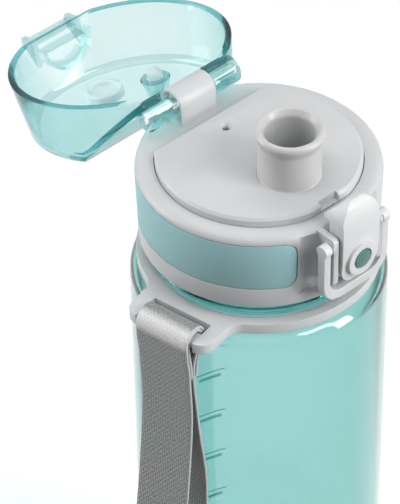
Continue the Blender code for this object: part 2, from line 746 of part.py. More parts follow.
def add_latch_cheeks(collar):
    top = DECK_Z - CHEEK_TOP_DROP
    low = top - CHEEK_HEIGHT
    root = -COLLAR_BORE_RADIUS + SINK
    outline = rounded(
        [
            (root, low, 0),
            (-CHEEK_REACH, low, CHEEK_CORNER),
            (-CHEEK_REACH, top, CHEEK_CORNER),
            (root, top, 0),
        ]
    )
    cheeks = mirrored(prism(outline, "X", CHEEK_INSIDE, CHEEK_OUTSIDE))
    join(collar, cheeks, "latch_cheeks")
    shelf_low = (-CHEEK_INSIDE - SINK, -SHELF_REACH, low + SINK / 2)
    shelf_high = (CHEEK_INSIDE + SINK, -LATCH_FLAT + SINK, low + SINK / 2 + SHELF_THICKNESS)
    join(collar, box(shelf_low, shelf_high), "latch_shelf")
    pivot = (-LATCH_PIVOT_Y, LATCH_Z)
    boss_end = CHEEK_OUTSIDE + CHEEK_BOSS_REACH
    bosses = mirrored(rod(pivot, CHEEK_BOSS_RADIUS, "X", CHEEK_OUTSIDE - SINK, boss_end))
    join(collar, bosses, "pivot_bosses")
    hole = rod(pivot, LATCH_PIN_RADIUS + GAP, "X", -boss_end - OVERRUN, boss_end + OVERRUN)
    cut(collar, hole, "pivot_hole")


def cap_collar(surface):
    profile = rounded(
        [
            (COLLAR_BORE_RADIUS, COLLAR_Z, 0),
            (COLLAR_RADIUS - COLLAR_TAPER, COLLAR_Z, 0),
            (COLLAR_RADIUS, LEDGE_TOP_Z, COLLAR_FILLET),
            (0, LEDGE_TOP_Z, 0),
            (0, LEDGE_Z, 0),
            (COLLAR_BORE_RADIUS, LEDGE_Z, 0),
        ]
    )
    collar = add_object("cap_collar", lathe(profile), surface)
    opening = prism(deck_outline(-GAP), "Z", LEDGE_Z - OVERRUN, LEDGE_TOP_Z + OVERRUN)
    cut(collar, opening, "deck_opening")
    scoop_top = LEDGE_TOP_Z - SCOOP_TOP_DROP
    scoop_low = scoop_top - SCOOP_HEIGHT
    scoops = mirrored(rod((SCOOP_SPREAD, -SCOOP_OFFSET), SCOOP_RADIUS, "Z", scoop_low, scoop_top, 2 * SMALL_STEPS))
    cut(collar, scoops, "bail_scoops")
    flat_low = (-FLAT_HALF_WIDTH, -COLLAR_RADIUS - OVERRUN, scoop_low)
    flat_high = (FLAT_HALF_WIDTH, -LATCH_FLAT, LEDGE_TOP_Z + OVERRUN)
    cut(collar, box(flat_low, flat_high), "latch_flat")
    cut_band_recess(collar)
    knuckle = prism(hinge_knuckle_outline(), "X", -KNUCKLE_HALF_LENGTH, KNUCKLE_HALF_LENGTH)
    join(collar, knuckle, "middle_knuckle")
    bore_radius = HINGE_PIN_RADIUS + HINGE_SPRING_WIRE + 2 * GAP
    reach = KNUCKLE_HALF_LENGTH + OVERRUN
    cut(collar, rod((HINGE_SETBACK, HINGE_Z), bore_radius, "X", -reach, reach), "spring_bore")
    add_latch_cheeks(collar)
    return collar


def spout(surface):
    flange_z = DECK_UNDER_Z - GAP - SPOUT_FLANGE_THICKNESS
    waist = SPOUT_TUBE_RADIUS - SPOUT_WAIST
    profile = rounded(
        [
            (SPOUT_BORE_RADIUS, flange_z, 0),
            (SPOUT_FLANGE_RADIUS, flange_z, 0),
            (SPOUT_FLANGE_RADIUS, flange_z + SPOUT_FLANGE_THICKNESS, 0),
            (SPOUT_TUBE_RADIUS, flange_z + SPOUT_FLANGE_THICKNESS, 0),
            (SPOUT_TUBE_RADIUS, DECK_Z, 0),
            (waist, DECK_Z + SPOUT_RISE * SPOUT_WAIST_SHARE, SPOUT_WAIST_ROUNDING),
            (SPOUT_LIP_RADIUS, SPOUT_TOP_Z - SPOUT_LIP_ROUNDING, SPOUT_LIP_ROUNDING),
            (SPOUT_LIP_RADIUS - SPOUT_LIP_ROUNDING, SPOUT_TOP_Z, SPOUT_CREST_ROUNDING),
            (SPOUT_BORE_RADIUS, SPOUT_TOP_Z - SPOUT_FUNNEL_DEPTH, SPOUT_FUNNEL_ROUNDING),
        ]
    )
    return add_object("spout", lathe(profile, 2 * SMALL_STEPS, (0, -SPOUT_OFFSET)), surface)


def vent_valve(surface):
    top = DECK_UNDER_Z - GAP
    low = top - VALVE_LENGTH
    profile = [
        (VENT_RADIUS, low),
        (VALVE_RADIUS - SINK, low),
        (VALVE_RADIUS, low + SINK),
        (VALVE_RADIUS, top),
        (VENT_RADIUS, top),
    ]
    return add_object("vent_valve", lathe(profile, SMALL_STEPS, (VENT_X, VENT_Y)), surface)


def facet_cutter(inset):
    """Everything beyond the lid's slanted hinge side, moved in by the inset."""
    run = FACET_FOOT_Y - FACET_TOP_Y
    drop = LID_TOP_Z - FACET_FOOT_Z
    length = hypot(run, drop)
    shift_y, shift_z = inset * drop / length, inset * run / length
    step_y, step_z = run / length * LID_RADIUS, drop / length * LID_RADIUS
    upper = (FACET_TOP_Y - shift_y - step_y, LID_TOP_Z - shift_z + step_z)
    lower = (FACET_FOOT_Y - shift_y + step_y, FACET_FOOT_Z - shift_z - step_z)
    far = (lower[0] + LID_RADIUS, upper[1] + LID_RADIUS)
    outline = [upper, lower, (far[0], lower[1]), far, (upper[0], far[1])]
    return prism(outline, "X", -LID_RADIUS - OVERRUN, LID_RADIUS + OVERRUN)


def frustum(low, top, low_radius, top_radius, fillet):
    return lathe(rounded([(0, low, 0), (low_radius, low, 0), (top_radius, top, fillet), (0, top, 0)]))


def lid_block(surface):
    """Solid frustum cut by the flat front and the slanted hinge side."""
    solid = frustum(LID_Z, LID_TOP_Z, LID_RADIUS, LID_TOP_RADIUS, LID_TOP_FILLET)
    lid = add_object("lid_shell", solid, surface)
    low = (-LID_RADIUS, -LID_RADIUS - OVERRUN, LID_Z - OVERRUN)
    high = (LID_RADIUS, -LID_FRONT, LID_TOP_Z + OVERRUN)
    cut(lid, box(low, high), "lid_front_flat")
    cut(lid, facet_cutter(0), "lid_facet")
    return lid


def add_ears_and_lip(lid):
    """Two ears for the bail, and the catch lip between them."""
    root = -LID_FRONT + LID_WALL
    low = LID_Z + SINK / 2
    ear = [
        (root, low),
        (-LID_FRONT - EAR_REACH * EAR_FOOT_SHARE, low),
        (-LID_FRONT - EAR_REACH, LID_Z + EAR_HEIGHT * EAR_TIP_SHARE),
        (-LID_FRONT + SINK / 2, LID_Z + EAR_HEIGHT),
        (root, LID_Z + EAR_HEIGHT),
    ]
    join(lid, mirrored(prism(ear, "X", EAR_INSIDE, EAR_OUTSIDE)), "lid_ears")
    lip_low = (-LIP_HALF_WIDTH, -LID_FRONT - LIP_REACH, low + SINK / 2)
    lip_high = (LIP_HALF_WIDTH, root, DECK_Z)
    join(lid, box(lip_low, lip_high), "catch_lip")


def add_lid_knuckles(lid):
    inside = KNUCKLE_HALF_LENGTH + KNUCKLE_PLAY
    axis = (HINGE_SETBACK, HINGE_Z)
    knuckles = mirrored(rod(axis, KNUCKLE_RADIUS, "X", inside - SINK, inside + LID_KNUCKLE_LENGTH))
    join(lid, knuckles, "lid_knuckles")


def lid_hollow():
    """Room under the lid, less the arched pocket's wall and the vent plug's cup, which stay solid."""
    slope = (LID_RADIUS - LID_TOP_RADIUS) / LID_HEIGHT
    low = LID_Z - OVERRUN
    low_radius = LID_RADIUS - LID_WALL + slope * OVERRUN
    top_radius = LID_TOP_RADIUS - LID_WALL + slope * LID_ROOF
    inner = frustum(low, LID_CEILING_Z, low_radius, top_radius, LID_TOP_FILLET - LID_FRONT_WALL)
    hollow = add_object("lid_hollow", inner)
    front_low = (-LID_RADIUS, -LID_RADIUS - OVERRUN, low - OVERRUN)
    front_high = (LID_RADIUS, -LID_FRONT + LID_FRONT_WALL, LID_TOP_Z + OVERRUN)
    cut(hollow, box(front_low, front_high), "hollow_front_flat")
    cut(hollow, facet_cutter(LID_WALL), "hollow_facet")
    boss = arc(ARCH_CENTRE, ARCH_RADIUS + ARCH_WALL, 0, pi, SMALL_STEPS)
    back = -LID_FRONT + ARCH_DEPTH + ARCH_WALL - SINK / 2
    cut(hollow, prism(boss, "Y", -LID_FRONT - SINK, back), "arch_boss")
    rim_z = DECK_Z + CUP_RIM_RISE
    stem_z = DECK_Z + CUP_STEM_RISE
    flare_radius = CUP_RADIUS - (CUP_RADIUS - CUP_STEM_RADIUS) * CUP_FLARE_SHARE
    profile = [
        (0, rim_z),
        (CUP_RADIUS, rim_z),
        (flare_radius, (rim_z + stem_z) / 2),
        (CUP_STEM_RADIUS, stem_z),
        (CUP_STEM_RADIUS, LID_TOP_Z + OVERRUN),
        (0, LID_TOP_Z + OVERRUN),
    ]
    cut(hollow, lathe(profile, SMALL_STEPS, (VENT_X, VENT_Y)), "vent_cup")
    return hollow


def cut_niches(lid):
    """Finger niche in the flat front, and the hole in the cup for the vent plug."""
    lean = asin(ARCH_FLOOR / ARCH_RADIUS)
    niche = arc(ARCH_CENTRE, ARCH_RADIUS, lean, pi - lean, SMALL_STEPS)
    cut(lid, prism(niche, "Y", -LID_FRONT - OVERRUN, -LID_FRONT + ARCH_DEPTH), "arch_niche")
    rim_z = DECK_Z + CUP_RIM_RISE
    hole = rod((VENT_X, VENT_Y), PLUG_RADIUS + GAP, "Z", rim_z - OVERRUN, rim_z + CUP_DEPTH)
    cut(lid, hole, "cup_hole")


def cut_hinge_room(lid):
    """Room for the collar's knuckle and its web, a trimmed tail that clears the ledge, and the pin hole."""
    inside = KNUCKLE_HALF_LENGTH + KNUCKLE_PLAY
    axis = (HINGE_SETBACK, HINGE_Z)
    notch = rod(axis, LID_CUTOUT_RADIUS, "X", -inside, inside, 2 * SMALL_STEPS)
    cut(lid, notch, "knuckle_notch")
    web_room = KNUCKLE_RADIUS + GAP
    web_low = (-inside, HINGE_SETBACK - web_room, LID_Z - OVERRUN)
    web_high = (inside, LID_RADIUS + OVERRUN, HINGE_Z - KNUCKLE_RADIUS / 2)
    cut(lid, box(web_low, web_high), "web_notch")
    tail_low = (-LID_RADIUS, FACET_FOOT_Y - LID_TAIL_LENGTH, LID_Z - OVERRUN)
    tail_high = (LID_RADIUS, LID_RADIUS + OVERRUN, FACET_FOOT_Z)
    cut(lid, box(tail_low, tail_high), "tail_trim")
    reach = inside + LID_KNUCKLE_LENGTH + OVERRUN
    cut(lid, rod(axis, HINGE_PIN_RADIUS + GAP, "X", -reach, reach), "lid_pin_hole")


def lid_shell(surface):
    lid = lid_block(surface)
    add_ears_and_lip(lid)
    add_lid_knuckles(lid)
    cut_hinge_room(lid)
    combine(lid, lid_hollow(), "DIFFERENCE")
    cut_niches(lid)
    return lid


def spout_seal(surface):
    """Stopper on the lid's ceiling: a soft cup that enters the spout's bore."""
    top = LID_CEILING_Z - GAP
    low = SPOUT_TOP_Z - SEAL_ENTRY
    profile = rounded(
        [
            (0, low + SEAL_WALL, 0),
            (SEAL_RADIUS - SEAL_WALL, low + SEAL_WALL, 0),
            (SEAL_RADIUS - SEAL_WALL, low, SEAL_WALL / 3),
            (SEAL_RADIUS, low, SEAL_WALL / 3),
            (SEAL_RADIUS, top, 0),
            (0, top, 0),
        ],
        3,
    )
    return add_object("spout_seal", lathe(profile, 2 * SMALL_STEPS, (0, -SPOUT_OFFSET)), surface)


def vent_plug(surface):
    """Soft bullet in the lid's cup. Its nose dips into the vent's countersink when the lid is shut."""
    rim_z = DECK_Z + CUP_RIM_RISE
    nose_z = DECK_Z - PLUG_DIP
    nose = arc((0, nose_z + PLUG_RADIUS), PLUG_RADIUS, -pi / 2, 0, ARC_STEPS + 1)
    top = rim_z + CUP_DEPTH - GAP
    profile = [(0, nose_z)] + nose[1:] + [(PLUG_RADIUS, top), (0, top)]
    return add_object("vent_plug", lathe(profile, SMALL_STEPS, (VENT_X, VENT_Y)), surface)


def hinge_pin(surface):
    reach = KNUCKLE_HALF_LENGTH + KNUCKLE_PLAY + LID_KNUCKLE_LENGTH
    pin = rod((HINGE_SETBACK, HINGE_Z), HINGE_PIN_RADIUS, "X", -reach, reach)
    return add_object("hinge_pin", pin, surface)


def coil(name, radius, wire, turns, length, place, surface):
    """Spring wound about its object's Z axis, as one unbroken wire with closed ends."""
    per_turn = 10
    count = turns * per_turn
    curve = bpy.data.curves.new(name, "CURVE")
    curve.dimensions = "3D"
    curve.bevel_depth = wire / 2
    curve.bevel_resolution = 1
    curve.use_fill_caps = True
    line = curve.splines.new("POLY")
    line.points.add(count)
    for i, point in enumerate(line.points):
        turn = 2 * pi * i / per_turn
        point.co = (radius * cos(turn), radius * sin(turn), (i / count - 1 / 2) * (length - wire), 1)
    curve.materials.append(surface)
    made = bpy.data.objects.new(name, curve)
    bpy.context.collection.objects.link(made)
    made.matrix_world = place
    print(name, "clear between turns", round((length - wire) / turns - wire, 5), "m")
    return made


def hinge_spring(surface):
    length = 2 * (KNUCKLE_HALF_LENGTH - GAP)
    radius = HINGE_PIN_RADIUS + GAP + HINGE_SPRING_WIRE / 2
    place = Matrix.Translation((0, HINGE_SETBACK, HINGE_Z)) @ Matrix.Rotation(pi / 2, 4, "Y")
    return coil("hinge_spring", radius, HINGE_SPRING_WIRE, HINGE_SPRING_TURNS, length, place, surface)


def latch_spring(surface):
    length = LEVER_LOWER_BACK - LATCH_FLAT - 2 * GAP
    middle = -(LEVER_LOWER_BACK + LATCH_FLAT) / 2
    place = Matrix.Translation((0, middle, DECK_Z - LATCH_SPRING_DROP)) @ Matrix.Rotation(pi / 2, 4, "X")
    radius, wire = LATCH_SPRING_RADIUS, LATCH_SPRING_WIRE
    return coil("latch_spring", radius, wire, LATCH_SPRING_TURNS, length, place, surface)


def lever_side():
    """Side view of the lever as (y, z): hook at the top, stepped back, gently bowed front."""
    bottom = DECK_Z - LEVER_BOTTOM_DROP
    height = LEVER_BOTTOM_DROP + LEVER_TOP_RISE
    depth = LEVER_FRONT - LEVER_BACK
    hook_z = DECK_Z + LEVER_HOOK_ROOM
    nose = -LID_FRONT - LIP_REACH + LEVER_HOOK_BITE
    front = [(-LEVER_FRONT + across * depth, bottom + up * height) for across, up in LEVER_FRONT_SHARES]
    hook = [(nose - back * LEVER_HOOK_BITE, hook_z + up * LEVER_TOP_RISE) for back, up in LEVER_HOOK_SHARES]
    back = [
        (-LEVER_BACK, hook_z),
        (-LEVER_BACK, LATCH_Z - LEVER_HEEL_DROP),
        (-LEVER_LOWER_BACK, LATCH_Z - LEVER_STEP_DROP),
        (-LEVER_LOWER_BACK, bottom),
    ]
    return front + hook + back


def latch_lever(surface):
    wide = LEVER_HALF_WIDTH + SINK
    lever = add_object("latch_lever", prism(lever_side(), "X", -wide, wide), surface)
    top = DECK_Z + LEVER_TOP_RISE + SINK / 2
    bottom = DECK_Z - LEVER_BOTTOM_DROP - SINK
    front = rounded(
        [
            (-LEVER_HALF_WIDTH, bottom, LEVER_FOOT_CORNER),
            (LEVER_HALF_WIDTH, bottom, LEVER_FOOT_CORNER),
            (LEVER_HALF_WIDTH, top, LEVER_HALF_WIDTH),
            (-LEVER_HALF_WIDTH, top, LEVER_HALF_WIDTH),
        ],
        2 * ARC_STEPS,
    )
    pill = add_object("lever_front_view", prism(front, "Y", -LEVER_FRONT - OVERRUN, -LATCH_FLAT + OVERRUN))
    combine(lever, pill, "INTERSECT")
    boss_z = DECK_Z - BOSS_DROP
    boss_front = -LEVER_FRONT - BOSS_RISE
    boss = rod((0, boss_z), BOSS_RADIUS, "Y", boss_front, -LEVER_FRONT + 2 * SINK, ROUND_STEPS // 2)
    join(lever, boss, "lever_boss")
    recess_floor = boss_front + INLAY_THICKNESS + GAP
    recess = rod((0, boss_z), INLAY_RADIUS + GAP, "Y", boss_front - OVERRUN, recess_floor, ROUND_STEPS // 2)
    cut(lever, recess, "inlay_recess")
    bore = rod((-LATCH_PIVOT_Y, LATCH_Z), LATCH_PIN_RADIUS + GAP, "X", -wide - OVERRUN, wide + OVERRUN)
    cut(lever, bore, "lever_bore")
    return lever


def latch_inlay(surface):
    front = -LEVER_FRONT - BOSS_RISE
    disc = rod((0, DECK_Z - BOSS_DROP), INLAY_RADIUS, "Y", front, front + INLAY_THICKNESS, ROUND_STEPS // 2)
    return add_object("latch_inlay", disc, surface)


def latch_pin(surface):
    pin = rod((-LATCH_PIVOT_Y, LATCH_Z), LATCH_PIN_RADIUS, "X", -LATCH_PIN_REACH, LATCH_PIN_REACH)
    return add_object("latch_pin", pin, surface)


def lock_bail(surface):
    low = LATCH_Z - BAIL_LENGTH
    bar_top = low + BAIL_BAR_HEIGHT
    outline = rounded(
        [
            (-BAIL_OUTSIDE, low, BAIL_CORNER),
            (BAIL_OUTSIDE, low, BAIL_CORNER),
            (BAIL_OUTSIDE, LATCH_Z, 0),
            (BAIL_INSIDE, LATCH_Z, 0),
            (BAIL_INSIDE, bar_top, BAIL_CORNER - BAIL_ARM_WIDTH),
            (-BAIL_INSIDE, bar_top, BAIL_CORNER - BAIL_ARM_WIDTH),
            (-BAIL_INSIDE, LATCH_Z, 0),
            (-BAIL_OUTSIDE, LATCH_Z, 0),
        ]
    )
    half = BAIL_ARM_THICKNESS / 2
    bail = add_object("lock_bail", prism(outline, "Y", -LATCH_PIVOT_Y - half, -LATCH_PIVOT_Y + half), surface)
    pivot = (-LATCH_PIVOT_Y, LATCH_Z)
    eyes = mirrored(rod(pivot, BAIL_EYE_RADIUS, "X", BAIL_INSIDE, BAIL_OUTSIDE))
    join(bail, eyes, "bail_eyes")
    reach = LATCH_PIN_REACH + GAP
    cut(bail, rod(pivot, LATCH_PIN_RADIUS + GAP, "X", -reach, reach), "bail_holes")
    return bail


def hang(name, pivot, pieces, turn=0):
    """Empty on a joint's axis that carries the pieces and turns them about X."""
    axis = bpy.data.objects.new(name, None)
    bpy.context.collection.objects.link(axis)
    axis.location = pivot
    for piece in pieces:
        piece.parent = axis
        piece.matrix_parent_inverse = Matrix.Translation(-Vector(pivot))
    axis.rotation_euler.x = turn


def build():
    clear_scene()
    clear_teal = material("clear_teal", (0.30, 0.66, 0.62), 0.06, alpha=0.45)
    grey = material("grey_plastic", (0.62, 0.64, 0.66), 0.35)
    white = material("white_plastic", (0.86, 0.86, 0.84), 0.30)
    soft_teal = material("soft_teal", (0.27, 0.47, 0.50), 0.62)
    webbing = material("grey_webbing", (0.25, 0.27, 0.27), 0.90)
    silicone = material("milky_silicone", (0.80, 0.84, 0.83), 0.45, alpha=0.85)
    green = material("green_inlay", (0.02, 0.12, 0.07), 0.40)
    steel = material("steel", (0.72, 0.72, 0.72), 0.25, metallic=1.0)
    bottle_body(clear_teal)
    strap_ring(grey)
    strap = wrist_strap(webbing)
    cap_gasket(silicone)
    inner_cap(grey)
    cap_collar(grey)
    grip_band(soft_teal)
    spout(white)
    vent_valve(silicone)
    lid_pieces = [lid_shell(clear_teal), spout_seal(silicone), vent_plug(silicone)]
    hinge_pin(steel)
    hinge_spring(steel)
    lever_pieces = [latch_lever(grey), latch_inlay(green)]
    latch_pin(steel)
    latch_spring(steel)
    bail = lock_bail(grey)
    bar = (BAR_CENTRE * cos(TAB_TURN), BAR_CENTRE * sin(TAB_TURN), RING_MID_Z)
    latch = (0, -LATCH_PIVOT_Y, LATCH_Z)
    hang("strap_axis", bar, [strap])
    hang("lid_axis", (0, HINGE_SETBACK, HINGE_Z), lid_pieces, -HINGE_OPEN_TURN)
    hang("lever_axis", latch, lever_pieces)
    hang("bail_axis", latch, [bail])


build()
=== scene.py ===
from math import acos, atan2, cos, hypot, pi, radians, sin, tan

import bmesh
import bpy
from mathutils import Matrix, Vector


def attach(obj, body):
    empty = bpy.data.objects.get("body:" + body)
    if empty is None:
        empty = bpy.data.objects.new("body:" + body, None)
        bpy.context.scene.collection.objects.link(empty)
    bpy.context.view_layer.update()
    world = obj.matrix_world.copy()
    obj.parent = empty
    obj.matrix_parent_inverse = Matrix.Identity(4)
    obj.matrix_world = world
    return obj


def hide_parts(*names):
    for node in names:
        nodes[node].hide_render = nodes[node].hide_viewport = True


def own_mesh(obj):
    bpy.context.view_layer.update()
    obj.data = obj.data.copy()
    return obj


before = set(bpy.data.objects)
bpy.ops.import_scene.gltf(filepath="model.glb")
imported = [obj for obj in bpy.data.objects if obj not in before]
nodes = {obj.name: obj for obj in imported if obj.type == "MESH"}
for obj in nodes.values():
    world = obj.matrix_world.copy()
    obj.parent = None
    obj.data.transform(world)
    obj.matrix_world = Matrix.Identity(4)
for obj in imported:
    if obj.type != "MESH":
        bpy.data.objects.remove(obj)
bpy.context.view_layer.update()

mm = 0.001

# Places that several pieces share, in millimetres above the base and from the bottle's axis
levels = {
    "deck": 220.0,
    "rim": 210.8,
    "hinge": (0.0, 28.6, 223.4),
    "latch": (0.0, -37.0, 213.8),
    "tabTurn": 191.0,  # degrees from X to the strap's tab
    "lidOpen": 195.0,  # degrees that the lid has swung back at rest
}


# Small modelling helpers

def deselectAll():
    if bpy.context.object and bpy.context.object.mode != "OBJECT":
        bpy.ops.object.mode_set(mode="OBJECT")
    bpy.ops.object.select_all(action="DESELECT")


def pick(piece):
    deselectAll()
    piece.select_set(True)
    bpy.context.view_layer.objects.active = piece


def edit(piece, kind="FACE"):  # edit mode with nothing selected
    pick(piece)
    bpy.ops.object.mode_set(mode="EDIT")
    bpy.ops.mesh.select_mode(type=kind)
    bpy.ops.mesh.select_all(action="DESELECT")
    return bmesh.from_edit_mesh(piece.data)


def settle(piece):  # puts the place and turn into the mesh
    pick(piece)
    bpy.ops.object.transform_apply(location=True, rotation=True, scale=True)
    return piece


def smooth(piece, angle):
    pick(piece)
    bpy.ops.object.shade_smooth_by_angle(angle=radians(angle))


def applyModifiers(piece):
    pick(piece)
    for modifier in list(piece.modifiers):
        bpy.ops.object.modifier_apply(modifier=modifier.name)


def tidyMesh(piece, near=0.0000015):
    edit(piece, "VERT")
    bpy.ops.mesh.select_all(action="SELECT")
    bpy.ops.mesh.remove_doubles(threshold=near)
    bpy.ops.mesh.normals_make_consistent(inside=False)
    bpy.ops.object.mode_set(mode="OBJECT")
    return piece


def joinAll(pieces):
    deselectAll()
    for piece in pieces:
        piece.select_set(True)
    bpy.context.view_layer.objects.active = pieces[0]
    bpy.ops.object.join()
    return pieces[0]


def rounded(corners, steps=6):  # corners (across, up, radius): each corner becomes an arc
    points = []
    for i, (x, y, radius) in enumerate(corners):
        if radius == 0:
            points.append((x, y))
            continue
        here = Vector((x, y))
        before = (Vector(corners[i - 1][:2]) - here).normalized()
        after = (Vector(corners[(i + 1) % len(corners)][:2]) - here).normalized()
        half = acos(max(-1, min(1, before.dot(after)))) / 2
        centre = here + (before + after).normalized() * radius / sin(half)
        start = here + before * radius / tan(half) - centre
        end = here + after * radius / tan(half) - centre
        first = atan2(start.y, start.x)
        swing = (atan2(end.y, end.x) - first + pi) % (2 * pi) - pi
        for k in range(steps + 1):
            turn = first + swing * k / steps
            points.append((centre.x + radius * cos(turn), centre.y + radius * sin(turn)))
    return points


def turned(profile, steps, centre=(0.0, 0.0), filled=False):
    # a circle extruded and scaled ring by ring along (radius, height) points in millimetres
    deselectAll()
    radius, height = profile[0]
    place = (centre[0] * mm, centre[1] * mm, height * mm)
    fill = "NGON" if filled else "NOTHING"
    bpy.ops.mesh.primitive_circle_add(vertices=steps, radius=radius * mm, fill_type=fill, location=place)
    piece = bpy.context.object
    bpy.ops.object.mode_set(mode="EDIT")
    bpy.ops.mesh.select_all(action="SELECT")
    for (oldRadius, oldHeight), (newRadius, newHeight) in zip(profile, profile[1:]):
        rise = {"value": (0, 0, (newHeight - oldHeight) * mm)}
        bpy.ops.mesh.extrude_region_move(TRANSFORM_OT_translate=rise)
        share = newRadius / oldRadius
        bpy.ops.transform.resize(value=(share, share, 1))
    bpy.ops.object.mode_set(mode="OBJECT")
    settle(piece)
    return tidyMesh(piece)


def block(low, high):
    deselectAll()
    middle = [(a + b) / 2 * mm for a, b in zip(low, high)]
    size = [(b - a) * mm for a, b in zip(low, high)]
    bpy.ops.mesh.primitive_cube_add(size=1, location=middle, scale=size)
    return settle(bpy.context.object)


def rod(centre, radius, axis, low, high, steps):  # a cylinder along X, Y or Z
    deselectAll()
    middle = (low + high) / 2
    place = {"X": (middle, *centre), "Y": (centre[0], middle, centre[1]), "Z": (*centre, middle)}[axis]
    place = [c * mm for c in place]
    turn = {"X": (0, pi / 2, 0), "Y": (pi / 2, 0, 0), "Z": (0, 0, 0)}[axis]
    size = {"radius": radius * mm, "depth": (high - low) * mm}
    bpy.ops.mesh.primitive_cylinder_add(vertices=steps, **size, location=place, rotation=turn)
    return settle(bpy.context.object)


def bevelEdges(piece, chosen, offset, segments):  # chosen(a, b) gets both ends in millimetres
    shape = edit(piece, "EDGE")
    for edge in shape.edges:
        a, b = (corner.co / mm for corner in edge.verts)
        edge.select_set(bool(chosen(a, b)))
    bmesh.update_edit_mesh(piece.data)
    bpy.ops.mesh.bevel(offset=offset * mm, segments=segments, affect="EDGES", clamp_overlap=True)
    bpy.ops.object.mode_set(mode="OBJECT")


def bevelSharp(piece, width, segments, angle=35):
    bevel = piece.modifiers.new("softEdges", "BEVEL")
    bevel.width = width * mm
    bevel.segments = segments
    bevel.limit_method = "ANGLE"
    bevel.angle_limit = radians(angle)
    applyModifiers(piece)


def combine(piece, tool, operation="DIFFERENCE"):
    step = piece.modifiers.new(operation.title(), "BOOLEAN")
    step.operation = operation
    step.solver = "EXACT"
    step.object = tool
    applyModifiers(piece)
    bpy.data.objects.remove(tool, do_unlink=True)
    return piece


def cutPlane(piece, point, normal):  # takes away what lies on the normal's side, and closes the cut
    edit(piece)
    bpy.ops.mesh.select_all(action="SELECT")
    place = [c * mm for c in point]
    bpy.ops.mesh.bisect(plane_co=place, plane_no=normal, use_fill=True, clear_outer=True, threshold=0.0000001)
    bpy.ops.object.mode_set(mode="OBJECT")
    return piece


def scoreLine(piece, point, normal):  # adds edges along a plane, so that a strip can take its own painted shade
    edit(piece)
    bpy.ops.mesh.select_all(action="SELECT")
    bpy.ops.mesh.bisect(plane_co=[c * mm for c in point], plane_no=normal)
    bpy.ops.object.mode_set(mode="OBJECT")


def mirroredTwin(piece):  # joins the piece with its mirror image across X
    pick(piece)
    bpy.ops.object.duplicate()
    twin = bpy.context.object
    twin.scale.x = -1
    settle(twin)
    tidyMesh(twin)
    return joinAll([piece, twin])


def turnAbout(piece, axis, angle, centre=(0, 0, 0)):
    pick(piece)
    hub = Matrix.Translation(Vector(centre) * mm)
    piece.matrix_world = hub @ Matrix.Rotation(radians(angle), 4, axis) @ hub.inverted() @ piece.matrix_world
    settle(piece)


def swingOpen(piece):  # the lid and what it carries are shaped shut, and rest open
    turnAbout(piece, "X", -levels["lidOpen"], levels["hinge"])


def markPaintedShade(piece, depth):  # depth(x, y, z, normal) in millimetres, 0 to 1: how strongly each face of the clear plastic takes the painted shade
    marks = piece.data.attributes.new("deep", "FLOAT", "FACE")
    for face, mark in zip(piece.data.polygons, marks.data):
        mark.value = depth(*(face.center / mm), face.normal)


def copyOf(node, name):  # an object of its own with a copy of a CAD node's mesh
    piece = bpy.data.objects.new(name, nodes[node].data.copy())
    bpy.context.collection.objects.link(piece)
    return piece


def finishPiece(piece, name, body, stuff, stuffSlot, *stands):
    piece.name = piece.data.name = name
    settle(piece)
    piece.data.materials.clear()
    piece.data.materials.append(stuff)
    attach(piece, body)
    if stands:
        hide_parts(*stands)


def softened(node, name, body, stuff, stuffSlot, width, segments):
    # the CAD node's own shape with its sharp edges rounded as moulded edges are
    piece = copyOf(node, name)
    pick(piece)
    bpy.ops.mesh.customdata_custom_splitnormals_clear()
    edit(piece, "VERT")
    bpy.ops.mesh.select_all(action="SELECT")
    bpy.ops.mesh.remove_doubles(threshold=0.000002)
    bpy.ops.mesh.dissolve_limited(angle_limit=radians(0.7))
    bpy.ops.object.mode_set(mode="OBJECT")
    bevelSharp(piece, width, segments)
    smooth(piece, 40)
    finishPiece(piece, name, body, stuff, stuffSlot, node)


# Materials

